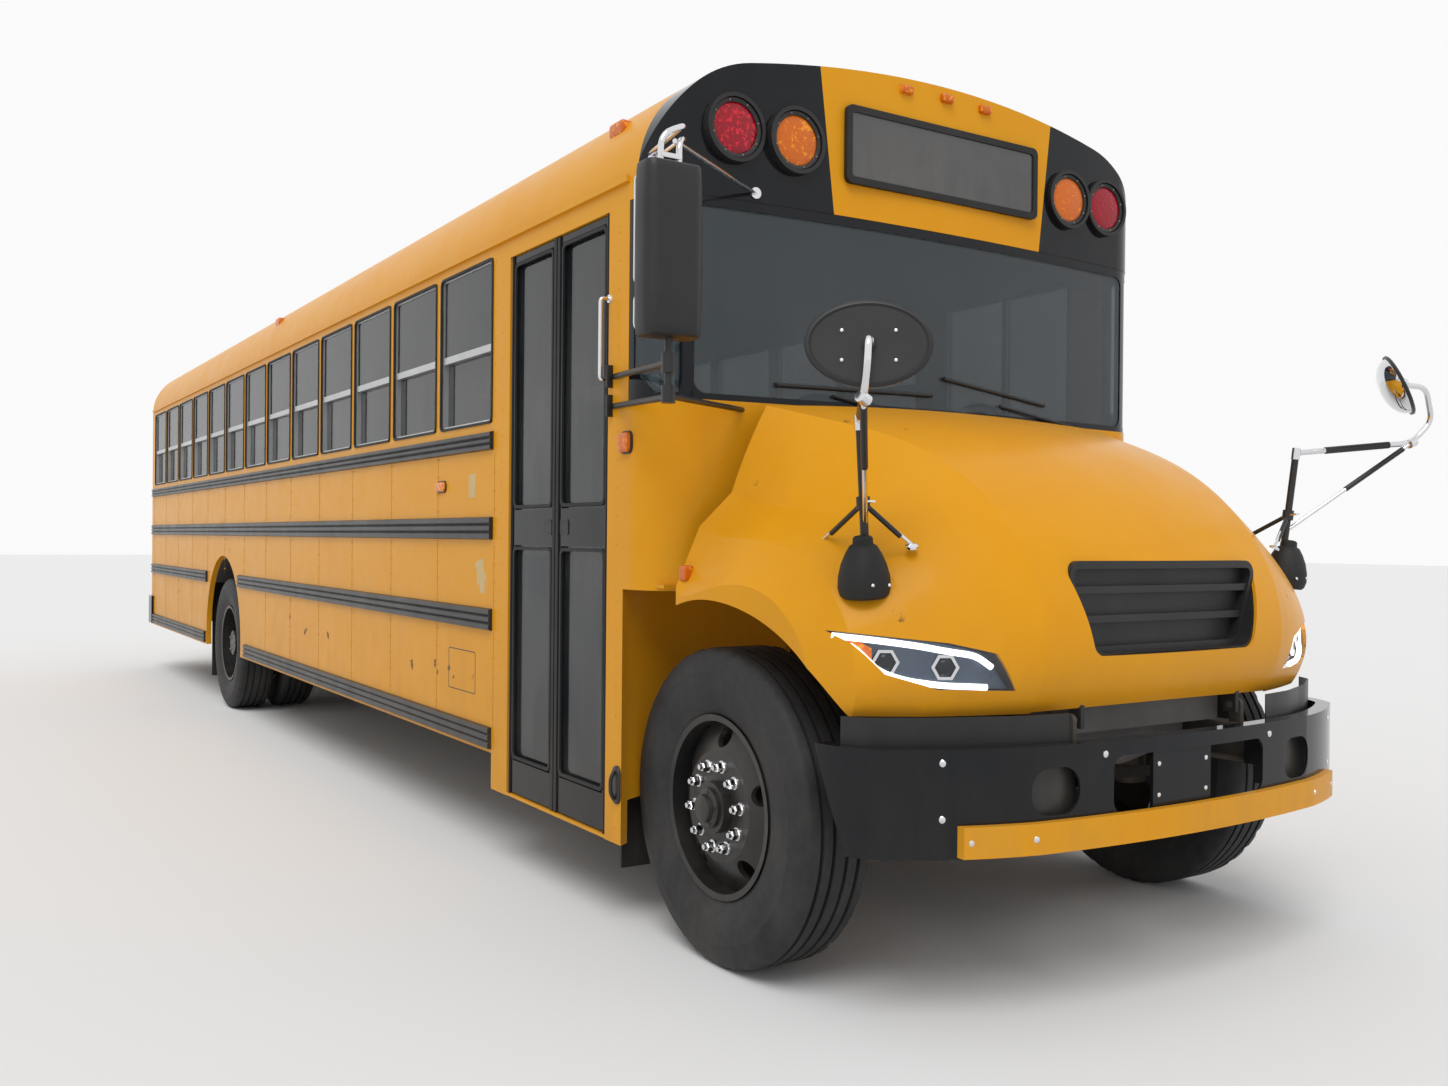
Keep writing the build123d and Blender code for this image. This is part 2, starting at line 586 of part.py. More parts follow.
def side_panel(side, with_door):
    """One side of the body from the rear cap to the front post."""
    with BuildPart() as panel:
        with BuildSketch(Plane.XZ.offset(-side * (BODY_HALF - WALL / 2.0))):
            with BuildLine():
                Polyline(
                    (SIDE_REAR_X, SKIRT_Z),
                    (LOW_PANEL_X, SKIRT_Z),
                    (LOW_PANEL_X, LOW_POST_Z),
                    (POST_FRONT_X, LOW_POST_Z),
                    (POST_FRONT_X, EAVE_Z),
                    (SIDE_REAR_X, EAVE_Z),
                    close=True,
                )
            make_face()
            for centre in window_centres:
                with Locations((centre, window_middle)):
                    Rectangle(WINDOW_WIDTH, window_height, mode=Mode.SUBTRACT)
            with Locations((REAR_AXLE_X, REAR_ARCH_Z)):
                Circle(REAR_ARCH_RADIUS, mode=Mode.SUBTRACT)
            add(front_arch_cut(), mode=Mode.SUBTRACT)
            if with_door:
                with Locations((DOOR_MIDDLE_X, DOOR_TOP_Z / 2.0)):
                    Rectangle(DOOR_WIDTH, DOOR_TOP_Z, mode=Mode.SUBTRACT)
            else:
                with Locations((DRIVER_WINDOW_X, window_middle)):
                    Rectangle(DRIVER_WINDOW_WIDTH, window_height, mode=Mode.SUBTRACT)
        extrude(amount=WALL / 2.0, both=True)
        with BuildSketch(Plane.XY.offset(LOW_POST_Z - OVERCUT)):
            with Locations((FRONT_AXLE_X, side * KINGPIN_Y)):
                Circle(WHEEL_SWING)
        extrude(amount=SHELF_Z - LOW_POST_Z, mode=Mode.SUBTRACT)
    return panel.part


right_panel = side_panel(-1.0, True)
left_panel = side_panel(1.0, False)
door_hinge_x = (
    DOOR_FRONT_X - DOOR_EDGE_GAP - DOOR_PIN_INSET,
    DOOR_FRONT_X - DOOR_WIDTH + DOOR_EDGE_GAP + DOOR_PIN_INSET,
)
DOOR_HINGE_Y = -(BODY_HALF - LEAF_RECESS)
with BuildPart() as side_wall_right:
    add(right_panel)
    with Locations((DOOR_MIDDLE_X, -(BODY_HALF - WALL / 2.0), DOOR_BOTTOM_Z - STEP_PLATE / 2.0)):
        Box(DOOR_WIDTH, WALL, STEP_PLATE)
    with BuildSketch(Plane.XY.offset(DOOR_BOTTOM_Z - 30.0)):
        for hinge_x in door_hinge_x:
            with Locations((hinge_x, DOOR_HINGE_Y)):
                Circle(DOOR_PIN_RADIUS + RUNNING_GAP)
    extrude(amount=40.0, mode=Mode.SUBTRACT)
    with BuildSketch(Plane.XY.offset(DOOR_TOP_Z)):
        for hinge_x in door_hinge_x:
            with Locations((hinge_x, DOOR_HINGE_Y)):
                Circle(DOOR_PIN_RADIUS + RUNNING_GAP)
    extrude(amount=DOOR_PIN_LENGTH + PIN_HOLE_SPARE, mode=Mode.SUBTRACT)
write(side_wall_right, "side_wall_right")

with BuildPart() as side_wall_left:
    add(left_panel)
write(side_wall_left, "side_wall_left")

# Rear wall: round-cornered cap with the emergency doorway, two windows and lamp seats
EXIT_HALF = 330.0
EXIT_BOTTOM_Z = 1030.0
EXIT_TOP_Z = 2480.0
EXIT_HINGE_X = REAR_FACE_X + LEAF_RECESS
EXIT_HINGE_Y = -(EXIT_HALF - DOOR_EDGE_GAP - DOOR_PIN_INSET)
REAR_WINDOW_Y = 745.0
REAR_WINDOW_WIDTH = 540.0
REAR_WINDOW_BOTTOM_Z = 1880.0
REAR_WINDOW_TOP_Z = 2460.0
with BuildPart() as rear_wall:
    with BuildSketch(Plane.YZ.offset(REAR_FACE_X)):
        add(body_section(0.0, SKIRT_Z))
    extrude(amount=REAR_CAP_DEPTH)
    rear_rim = rear_wall.faces().sort_by(Axis.X)[0].edges().sort_by(Axis.Z)[1:]
    fillet(rear_rim, REAR_CORNER)
    with BuildSketch(Plane.YZ.offset(REAR_FACE_X + WALL)):
        add(body_section(WALL, SKIRT_Z - OVERCUT))
    extrude(amount=REAR_CAP_DEPTH, mode=Mode.SUBTRACT)
    with BuildSketch(Plane.YZ.offset(REAR_FACE_X)):
        with Locations((0.0, (EXIT_BOTTOM_Z + EXIT_TOP_Z) / 2.0)):
            Rectangle(2.0 * EXIT_HALF, EXIT_TOP_Z - EXIT_BOTTOM_Z)
        for side in SIDES:
            with Locations((side * REAR_WINDOW_Y, (REAR_WINDOW_BOTTOM_Z + REAR_WINDOW_TOP_Z) / 2.0)):
                RectangleRounded(REAR_WINDOW_WIDTH, REAR_WINDOW_TOP_Z - REAR_WINDOW_BOTTOM_Z, 60.0)
    extrude(amount=WALL, mode=Mode.SUBTRACT)
    with BuildSketch(Plane.XY.offset(EXIT_BOTTOM_Z - DOOR_PIN_LENGTH - PIN_HOLE_SPARE)):
        with Locations((EXIT_HINGE_X, EXIT_HINGE_Y)):
            Circle(DOOR_PIN_RADIUS + RUNNING_GAP)
    extrude(amount=EXIT_TOP_Z - EXIT_BOTTOM_Z + 2.0 * (DOOR_PIN_LENGTH + PIN_HOLE_SPARE), mode=Mode.SUBTRACT)
write(rear_wall, "rear_wall")

# Roof: one curved shell over the cabin with two hatch openings
HATCHES = (("front", 1700.0), ("rear", -3400.0))
HATCH_HALF = 290.0
HATCH_CURB = 30.0
HATCH_LIP = 12.0
HATCH_PIN_RADIUS = 7.0
HATCH_PIN_OUT = 10.0
HATCH_LUG_Y = 210.0
HATCH_LUG_HALF = 9.6
DRIP_PROUD = 14.0
DRIP_HEIGHT = 24.0
roof_crown_z = body_section(0.0, 0.0).bounding_box().max.Y
hatch_pin_z = roof_crown_z + HATCH_LIP
with BuildPart() as roof:
    with BuildSketch(Plane.YZ.offset(SIDE_REAR_X)):
        add(body_section(0.0, SKIRT_Z))
        add(body_section(WALL, SKIRT_Z - OVERCUT), mode=Mode.SUBTRACT)
        with Locations((0.0, EAVE_Z / 2.0)):
            Rectangle(3.0 * BODY_HALF, EAVE_Z, mode=Mode.SUBTRACT)
    extrude(amount=POST_FRONT_X - SIDE_REAR_X)
    for name, hatch_x in HATCHES:
        with BuildSketch(Plane.XY.offset(roof_crown_z - WALL - 20.0)):
            with Locations((hatch_x, 0.0)):
                Rectangle(2.0 * (HATCH_HALF + HATCH_CURB), 2.0 * (HATCH_HALF + HATCH_CURB))
        extrude(amount=WALL + 20.0 + HATCH_LIP)
        with BuildSketch(Plane.XY.offset(roof_crown_z - WALL - 60.0)):
            with Locations((hatch_x, 0.0)):
                Rectangle(2.0 * HATCH_HALF, 2.0 * HATCH_HALF)
        extrude(amount=WALL + 200.0, mode=Mode.SUBTRACT)
        for lug_y in (-HATCH_LUG_Y, HATCH_LUG_Y):
            with BuildSketch(Plane.XZ.offset(-lug_y)):
                with Locations((hatch_x + HATCH_HALF + HATCH_CURB + HATCH_PIN_OUT, roof_crown_z + 8.0)):
                    Rectangle(2.0 * HATCH_LUG_HALF, 32.0)
                with Locations((hatch_x + HATCH_HALF + HATCH_CURB + HATCH_PIN_OUT, hatch_pin_z)):
                    Circle(HATCH_PIN_RADIUS + RUNNING_GAP, mode=Mode.SUBTRACT)
            extrude(amount=8.0, both=True)
    for side in SIDES:
        with BuildSketch(Plane.YZ.offset(SIDE_REAR_X)):
            with BuildLine():
                Polyline(
                    (side * BODY_HALF, EAVE_Z),
                    (side * (BODY_HALF + DRIP_PROUD), EAVE_Z),
                    (side * (BODY_HALF + DRIP_PROUD), EAVE_Z + DRIP_HEIGHT),
                    (side * (BODY_HALF + DRIP_PROUD - 4.0), EAVE_Z + DRIP_HEIGHT),
                    (side * (BODY_HALF - 5.0), EAVE_Z + 9.0),
                    (side * (BODY_HALF - 5.0), EAVE_Z),
                    close=True,
                )
            make_face()
        extrude(amount=POST_FRONT_X - SIDE_REAR_X)
write(roof, "roof")

# Front cap: yellow centre and back band with black lamp corners
CORNER_REAR_X = FRONT_AXLE_X - 370.0
CORNER_INNER_LOW_Y = 520.0
CORNER_INNER_HIGH_Y = 592.0
cap_outer = nose_block(0.0, POST_FRONT_X, CAP_BOTTOM_Z, roof_crown_z + OVERCUT)
cap_inner = nose_block(WALL, POST_FRONT_X - OVERCUT, CAP_BOTTOM_Z - OVERCUT, roof_crown_z + OVERCUT)
with BuildPart() as cap_shell:
    add(cap_outer)
    add(cap_inner, mode=Mode.SUBTRACT)
with BuildPart() as corner_zone:
    with BuildSketch(Plane.YZ.offset(CORNER_REAR_X)):
        with BuildLine():
            Polyline(
                (CORNER_INNER_LOW_Y, CAP_BOTTOM_Z - 5.0),
                (CORNER_INNER_HIGH_Y, roof_crown_z + 20.0),
                (BODY_HALF + 20.0, roof_crown_z + 20.0),
                (BODY_HALF + 20.0, CAP_BOTTOM_Z - 5.0),
                close=True,
            )
        make_face()
    extrude(amount=400.0)
    mirror(about=Plane.XZ)
with BuildPart() as front_cap:
    add(cap_shell.part)
    add(corner_zone.part, mode=Mode.SUBTRACT)
write(front_cap, "front_cap")
with BuildPart() as cap_corners:
    add(cap_shell.part)
    add(corner_zone.part, mode=Mode.INTERSECT)
write(cap_corners, "cap_corners")

# Windscreen frame: the band between cowl and cap with one wide and two corner panes
PILLAR_HALF = 22.0
CORNER_PANE_REAR_X = FRONT_AXLE_X - 392.0
CORNER_PANE_FRONT_Y = WINDSCREEN_HALF + 2.0 * PILLAR_HALF
FRAME_SETBACK = 2.0
PANE = 8.0
PANE_SETBACK = FRAME_SETBACK + 4.0
PANE_INNER = PANE_SETBACK + PANE
frame_outer = nose_block(FRAME_SETBACK, POST_FRONT_X, COWL_TOP_Z, CAP_BOTTOM_Z)
frame_inner = nose_block(COWL_WALL, POST_FRONT_X - OVERCUT, COWL_TOP_Z - OVERCUT, CAP_BOTTOM_Z + OVERCUT)
pane_outer = nose_block(PANE_SETBACK, POST_FRONT_X, GLASS_BOTTOM_Z, GLASS_TOP_Z)
pane_inner = nose_block(PANE_INNER, POST_FRONT_X - OVERCUT, GLASS_BOTTOM_Z - OVERCUT, GLASS_TOP_Z + OVERCUT)
with BuildPart() as pane_zone:
    with BuildSketch(Plane.YZ.offset(FRONT_AXLE_X - 320.0)):
        with Locations((0.0, (GLASS_BOTTOM_Z + GLASS_TOP_Z) / 2.0)):
            RectangleRounded(2.0 * WINDSCREEN_HALF, GLASS_TOP_Z - GLASS_BOTTOM_Z, 45.0)
    extrude(amount=300.0)
    with BuildSketch(Plane.XZ.offset(-BODY_HALF - OVERCUT)):
        with BuildLine():
            Polyline(
                (CORNER_PANE_REAR_X, GLASS_TOP_Z),
                (NOSE_X, GLASS_TOP_Z),
                (NOSE_X, GLASS_BOTTOM_Z),
                (CORNER_PANE_REAR_X + 90.0, GLASS_BOTTOM_Z),
                (CORNER_PANE_REAR_X, GLASS_BOTTOM_Z + 90.0),
                close=True,
            )
        make_face()
    extrude(amount=BODY_HALF + OVERCUT - CORNER_PANE_FRONT_Y)
    with BuildSketch(Plane.XZ.offset(CORNER_PANE_FRONT_Y)):
        with BuildLine():
            Polyline(
                (CORNER_PANE_REAR_X, GLASS_TOP_Z),
                (NOSE_X, GLASS_TOP_Z),
                (NOSE_X, GLASS_BOTTOM_Z),
                (CORNER_PANE_REAR_X + 90.0, GLASS_BOTTOM_Z),
                (CORNER_PANE_REAR_X, GLASS_BOTTOM_Z + 90.0),
                close=True,
            )
        make_face()
    extrude(amount=BODY_HALF + OVERCUT - CORNER_PANE_FRONT_Y)
with BuildPart() as windscreen_frame:
    add(frame_outer)
    add(frame_inner, mode=Mode.SUBTRACT)
    add(pane_zone.part, mode=Mode.SUBTRACT)
write(windscreen_frame, "windscreen_frame")
with BuildPart() as windscreen:
    add(pane_outer)
    add(pane_inner, mode=Mode.SUBTRACT)
    add(pane_zone.part, mode=Mode.INTERSECT)
write(windscreen, "windscreen")

# Cowl: corner panels, bulkhead, shelf over the engine and the front wheelhouses
RISER_X = FLOOR_FRONT_X
HOUSE_ARC_FRONT_X = FRONT_AXLE_X - 440.0
cowl_outer = nose_block(0.0, POST_FRONT_X, LOW_POST_Z, COWL_TOP_Z)
cowl_inner = nose_block(COWL_WALL, POST_FRONT_X - OVERCUT, LOW_POST_Z - OVERCUT, COWL_TOP_Z + OVERCUT)
with BuildPart() as cowl:
    add(cowl_outer)
    add(cowl_inner, mode=Mode.SUBTRACT)
    with BuildSketch(Plane.XZ):
        add(front_arch_cut())
    extrude(amount=BODY_HALF + OVERCUT, both=True, mode=Mode.SUBTRACT)
    with BuildSketch(Plane.XY.offset(LOW_POST_Z - OVERCUT)):
        for side in SIDES:
            with Locations((FRONT_AXLE_X, side * KINGPIN_Y)):
                Circle(WHEEL_SWING)
    extrude(amount=SHELF_Z - LOW_POST_Z, mode=Mode.SUBTRACT)
    with Locations(((RISER_X + NOSE_SIDE_X) / 2.0, 0.0, SHELF_Z + WHEELHOUSE_SHEET / 2.0)):
        Box(NOSE_SIDE_X - RISER_X, 2.0 * (BODY_HALF - WALL), WHEELHOUSE_SHEET)
    with Locations((RISER_X + WHEELHOUSE_SHEET / 2.0, 0.0, (FLOOR_Z - FLOOR_PLATE + SHELF_Z) / 2.0)):
        Box(WHEELHOUSE_SHEET, 2.0 * (BODY_HALF - WALL), SHELF_Z - FLOOR_Z + FLOOR_PLATE)
    for side in SIDES:
        with BuildSketch(Plane.XY.offset(SKIRT_Z)):
            with Locations((FRONT_AXLE_X, side * KINGPIN_Y)):
                Circle(WHEEL_SWING + WHEELHOUSE_SHEET)
                Circle(WHEEL_SWING, mode=Mode.SUBTRACT)
            with Locations((HOUSE_ARC_FRONT_X + WHEEL_SWING, side * KINGPIN_Y)):
                Rectangle(2.0 * WHEEL_SWING, 3.0 * WHEEL_SWING, mode=Mode.SUBTRACT)
            with Locations((FRONT_AXLE_X - WHEEL_SWING, side * (BODY_HALF - WALL + WHEEL_SWING))):
                Rectangle(2.0 * WHEEL_SWING, 2.0 * WHEEL_SWING, mode=Mode.SUBTRACT)
        extrude(amount=SHELF_Z - SKIRT_Z)
    add(leaf_room.part, mode=Mode.SUBTRACT)
write(cowl, "cowl")

# Windows: sash frames with a meeting rail, and their panes
MEETING_SASH = 0.8 * SASH
PANE_ROWS = (
    ("upper", UPPER_PANE_INSET, WINDOW_SPLIT_Z, WINDOW_TOP_Z),
    ("lower", LOWER_PANE_INSET, WINDOW_SILL_Z, WINDOW_SPLIT_Z),
)
frame_middle_y = BODY_HALF - SASH_INSET - SASH_DEPTH / 2.0
pane_width = WINDOW_WIDTH - 2.0 * SASH
driver_pane_width = DRIVER_WINDOW_WIDTH / 2.0 - 1.5 * SASH
driver_pane_height = window_height - 2.0 * SASH
with BuildPart() as window_frames:
    for side in SIDES:
        for centre in window_centres:
            with BuildSketch(Plane.XZ.offset(-side * frame_middle_y)):
                with Locations((centre, window_middle)):
                    Rectangle(WINDOW_WIDTH, window_height)
                for name, pane_inset, low, high in PANE_ROWS:
                    with Locations((centre, (low + high) / 2.0)):
                        Rectangle(pane_width, high - low - 2.0 * MEETING_SASH, mode=Mode.SUBTRACT)
            extrude(amount=SASH_DEPTH / 2.0, both=True)
    with BuildSketch(Plane.XZ.offset(-frame_middle_y)):
        with Locations((DRIVER_WINDOW_X, window_middle)):
            Rectangle(DRIVER_WINDOW_WIDTH, window_height)
        for half in SIDES:
            with Locations((DRIVER_WINDOW_X + half * DRIVER_WINDOW_WIDTH / 4.0, window_middle)):
                Rectangle(driver_pane_width, driver_pane_height, mode=Mode.SUBTRACT)
    extrude(amount=SASH_DEPTH / 2.0, both=True)
write(window_frames, "window_frames")

with BuildPart() as window_glass:
    for side in SIDES:
        for name, pane_inset, low, high in PANE_ROWS:
            with BuildSketch(Plane.XZ.offset(-side * (BODY_HALF - pane_inset))):
                for centre in window_centres:
                    with Locations((centre, (low + high) / 2.0)):
                        Rectangle(pane_width, high - low - 2.0 * MEETING_SASH)
            extrude(amount=GLASS / 2.0, both=True)
    with BuildSketch(Plane.XZ.offset(-frame_middle_y)):
        for half in SIDES:
            with Locations((DRIVER_WINDOW_X + half * DRIVER_WINDOW_WIDTH / 4.0, window_middle)):
                Rectangle(driver_pane_width, driver_pane_height)
    extrude(amount=GLASS / 2.0, both=True)
    with BuildSketch(Plane.YZ.offset(REAR_FACE_X + WALL / 2.0)):
        for side in SIDES:
            with Locations((side * REAR_WINDOW_Y, (REAR_WINDOW_BOTTOM_Z + REAR_WINDOW_TOP_Z) / 2.0)):
                RectangleRounded(REAR_WINDOW_WIDTH, REAR_WINDOW_TOP_Z - REAR_WINDOW_BOTTOM_Z, 60.0)
    extrude(amount=GLASS / 2.0, both=True)
write(window_glass, "window_glass")

# Rub rails: ribbed black rails along both sides, broken at the wheel arches
RAIL_PROUD = 18.0
RIB_COUNT = 3
RIB_GROOVE = 9.0
RAIL_LEFT_FRONT_X = POST_FRONT_X - 30.0
ARCH_RAIL_REAR_X = REAR_AXLE_X - 616.0
ARCH_RAIL_FRONT_X = REAR_AXLE_X + 585.0
ARCH_SKIRT_REAR_X = REAR_AXLE_X - 680.0
ARCH_SKIRT_FRONT_X = REAR_AXLE_X + 810.0
RAILS = (
    ("window rail", 1755.0, 1835.0, ((SIDE_REAR_X, LOW_PANEL_X),)),
    ("seat rail", 1370.0, 1468.0, ((SIDE_REAR_X, LOW_PANEL_X),)),
    ("floor rail", 980.0, 1075.0, ((SIDE_REAR_X, ARCH_RAIL_REAR_X), (ARCH_RAIL_FRONT_X, LOW_PANEL_X))),
    ("skirt rail", 473.0, 567.0, ((REAR_BUMPER_END_X, ARCH_SKIRT_REAR_X), (ARCH_SKIRT_FRONT_X, LOW_PANEL_X))),
)


def rail_profile(low, high):
    """Rail section with shallow grooves between its ribs, as points from the wall outwards."""
    pitch = (high - low) / RIB_COUNT
    points = [(0.0, low), (RAIL_PROUD, low + 4.0)]
    for number in range(1, RIB_COUNT):
        edge = low + number * pitch
        points += [(RAIL_PROUD, edge - 8.0), (RAIL_PROUD - RIB_GROOVE, edge), (RAIL_PROUD, edge + 8.0)]
    return points + [(RAIL_PROUD, high - 4.0), (0.0, high)]


with BuildPart() as rub_rails:
    for side in SIDES:
        for name, low, high, spans in RAILS:
            for start_x, end_x in spans:
                front_x = end_x
                if side > 0 and end_x == LOW_PANEL_X and low > SKIRT_Z + 100.0:
                    front_x = RAIL_LEFT_FRONT_X
                with BuildSketch(Plane.YZ.offset(start_x)):
                    with BuildLine():
                        outline = [(side * (BODY_HALF + out), z) for out, z in rail_profile(low, high)]
                        Polyline(*outline, close=True)
                    make_face()
                extrude(amount=front_x - start_x)
write(rub_rails, "rub_rails")

# Hood: one moulding lofted through planes that fan about its rear lower edge
# Columns: fan angle from upright, crown, shoulder y and r, valley y and r, fender y and r, outer y and r
HOOD_SECTIONS = (
    (0.0, 990.0, 845.0, 962.0, 985.0, 660.0, 1110.0, 545.0, 1200.0, 345.0),
    (30.0, 1000.0, 630.0, 948.0, 930.0, 690.0, 1080.0, 580.0, 1198.0, 400.0),
    (58.0, 1076.0, 575.0, 1033.0, 930.0, 850.0, 1075.0, 740.0, 1165.0, 600.0),
    (76.0, 1085.0, 560.0, 1045.0, 925.0, 895.0, 1075.0, 795.0, 1130.0, 640.0),
    (90.0, 990.0, 560.0, 950.0, 880.0, 845.0, 1050.0, 740.0, 1110.0, 600.0),
)


def hood_loft(inset, base_radius, first_turn, last_turn):
    """Loft through the fan of hood sections, each drawn inset by the sheet's thickness."""
    with BuildPart() as block:
        for number, row in enumerate(HOOD_SECTIONS):
            turn, crown, *corners = row
            shoulder_y, shoulder_r, valley_y, valley_r, fender_y, fender_r, outer_y, outer_r = corners
            if number == 0:
                turn = first_turn
            if number == len(HOOD_SECTIONS) - 1:
                turn = last_turn
            angle = radians(turn)
            across = (cos(angle), 0, -sin(angle))
            plane = Plane(origin=(HOOD_REAR_X, 0.0, HOOD_BASE_Z), x_dir=(0, 1, 0), z_dir=across)
            shoulder = (shoulder_y - inset * 0.5, shoulder_r - inset)
            valley = (valley_y - inset, valley_r - inset * 0.6)
            fender = (fender_y - inset * 0.7, fender_r - inset * 0.7)
            outer = (outer_y - inset, outer_r)
            bulge = (shoulder[0] * 0.44 + valley[0] * 0.56, (shoulder[1] + valley[1]) / 2.0)
            with BuildSketch(plane):
                with BuildLine():
                    for sign in SIDES:
                        corners = [
                            (sign * y, radius)
                            for y, radius in (shoulder, bulge, valley, fender, outer, (outer[0], base_radius))
                        ]
                        ThreePointArc(*corners[:3])
                        Polyline(*corners[2:])
                    ThreePointArc((-shoulder[0], shoulder[1]), (0.0, crown - inset), shoulder)
                    Line((-outer[0], base_radius), (outer[0], base_radius))
                make_face()
        loft()
    return block.part


GRILLE_TOP_Z = 1327.0
GRILLE_BOTTOM_Z = 1046.0
GRILLE_TOP_HALF = 454.0
GRILLE_BOTTOM_HALF = 372.0
GRILLE_CORNER = 45.0
LAMP_OUTLINE = (
    ("outer tip", 1105.0, 1124.0),
    ("top middle", 834.0, 1093.0),
    ("top inner", 706.0, 1063.0),
    ("inner low tip", 634.0, 953.0),
    ("bottom middle", 860.0, 960.0),
    ("bottom outer", 1000.0, 1005.0),
)
hood_outer = hood_loft(0.0, HOOD_INNER_RADIUS, 0.0, 90.0)
hood_inner = hood_loft(HOOD_SHEET, HOOD_INNER_RADIUS - 60.0, -1.5, 91.0)
hood_deep = hood_loft(HOOD_SHEET + 50.0, HOOD_INNER_RADIUS - 60.0, -1.5, 91.0)


def grille_outline(grow):
    """Rounded trapezoid of the grille opening, grown or shrunk."""
    with BuildSketch() as outline:
        with BuildLine():
            Polyline(
                (-GRILLE_TOP_HALF - grow, GRILLE_TOP_Z + grow),
                (GRILLE_TOP_HALF + grow, GRILLE_TOP_Z + grow),
                (GRILLE_BOTTOM_HALF + grow, GRILLE_BOTTOM_Z - grow),
                (-GRILLE_BOTTOM_HALF - grow, GRILLE_BOTTOM_Z - grow),
                close=True,
            )
        make_face()
        fillet(outline.vertices(), GRILLE_CORNER + grow)
    return outline.sketch


with BuildPart() as lamp_zone:
    for side in SIDES:
        with BuildSketch(Plane.YZ.offset(FRONT_AXLE_X + 420.0)):
            with BuildLine():
                Polyline(*[(side * y, z) for name, y, z in LAMP_OUTLINE], close=True)
            make_face()
        extrude(amount=600.0)
with BuildPart() as arch_zone:
    for side in SIDES:
        with BuildSketch(Plane.XZ.offset(-side * (FRONT_ARCH_INNER_Y + 350.0))):
            with Locations((FRONT_ARCH_X, FRONT_ARCH_Z)):
                Circle(FRONT_ARCH_RADIUS)
        extrude(amount=350.0, both=True)
with BuildPart() as hood:
    add(hood_outer)
    add(hood_inner, mode=Mode.SUBTRACT)
    with BuildSketch(Plane.YZ.offset(FRONT_AXLE_X + 700.0)):
        add(grille_outline(0.0))
    extrude(amount=400.0, mode=Mode.SUBTRACT)
    add(lamp_zone.part, mode=Mode.SUBTRACT)
    add(arch_zone.part, mode=Mode.SUBTRACT)
write(hood, "hood")
with BuildPart() as headlamps:
    add(hood_outer)
    add(hood_deep, mode=Mode.SUBTRACT)
    add(lamp_zone.part, mode=Mode.INTERSECT)
write(headlamps, "headlamps")

# Grille: frame, two bars and a backing screen set in the hood's opening
GRILLE_FRONT_X = FRONT_AXLE_X + 872.0
GRILLE_DEPTH = 40.0
GRILLE_FRAME = 24.0
GRILLE_SCREEN = 6.0
GRILLE_BAR_Z = (1240.0, 1152.0)
GRILLE_BAR_HALF_HEIGHT = 11.0
HINGE_ARM = 16.0
with BuildPart() as grille:
    with BuildSketch(Plane.YZ.offset(GRILLE_FRONT_X - GRILLE_DEPTH)):
        add(grille_outline(-SEAT_GAP))
        add(grille_outline(-GRILLE_FRAME), mode=Mode.SUBTRACT)
    extrude(amount=GRILLE_DEPTH)
    with BuildSketch(Plane.YZ.offset(GRILLE_FRONT_X - GRILLE_DEPTH)):
        add(grille_outline(-SEAT_GAP))
    extrude(amount=GRILLE_SCREEN)
    for bar_z in GRILLE_BAR_Z:
        with BuildSketch(Plane.YZ.offset(GRILLE_FRONT_X - GRILLE_DEPTH)):
            with Locations((0.0, bar_z)):
                Rectangle(2.0 * GRILLE_TOP_HALF, 2.0 * GRILLE_BAR_HALF_HEIGHT)
            add(grille_outline(-GRILLE_FRAME + 4.0), mode=Mode.INTERSECT)
        extrude(amount=GRILLE_DEPTH - GRILLE_SCREEN)
    for side in SIDES:
        with BuildSketch(Plane.XZ.offset(-side * (HOOD_PIN_Y - 30.0))):
            with BuildLine():
                Polyline(
                    (HOOD_PIN_X - 24.0, HOOD_PIN_Z - 24.0),
                    (HOOD_PIN_X + 24.0, HOOD_PIN_Z - 24.0),
                    (HOOD_PIN_X + 24.0, HOOD_PIN_Z + 60.0),
                    (GRILLE_FRONT_X - GRILLE_DEPTH + 3.0, GRILLE_BOTTOM_Z + 20.0),
                    (GRILLE_FRONT_X - GRILLE_DEPTH + 3.0, GRILLE_BOTTOM_Z + 80.0),
                    (HOOD_PIN_X - 24.0, HOOD_PIN_Z + 130.0),
                    close=True,
                )
            make_face()
            with Locations((HOOD_PIN_X, HOOD_PIN_Z)):
                Circle(HOOD_PIN_RADIUS + RUNNING_GAP, mode=Mode.SUBTRACT)
        extrude(amount=HINGE_ARM / 2.0, both=True)
    add(hood.part, mode=Mode.SUBTRACT)
write(grille, "grille")

# Crossover mirrors: oval domes on bent arms, each with a brace, two stays and a bell foot
CROSS_TUBE = 12.0
CROSS_STAY = 8.0
CROSS_FOOT_Z = 1215.0
CROSS_BOOT_RADIUS = 72.0
CROSS_BOOT_HEIGHT = 175.0
CROSS_BOOT_TAPER = 11.0
CROSS_BRACE_RISE = 60.0
CROSS_MAST = ((FRONT_AXLE_X + 610.0, 1000.0, CROSS_FOOT_Z + 150.0), (FRONT_AXLE_X + 630.0, 1040.0, 1722.0))
CROSS_STAY_FEET = ((FRONT_AXLE_X + 394.0, 992.0, 1375.0), (FRONT_AXLE_X + 661.0, 867.0, 1365.0))
CROSS_STAY_TOP = (FRONT_AXLE_X + 617.0, 1014.0, 1490.0)
# Head: distance back from the mount, and the oval's half width and half height there
CROSS_HEAD_SECTIONS = ((0.0, 156.0, 106.0), (14.0, 168.0, 118.0), (48.0, 140.0, 97.0), (72.0, 70.0, 48.0))
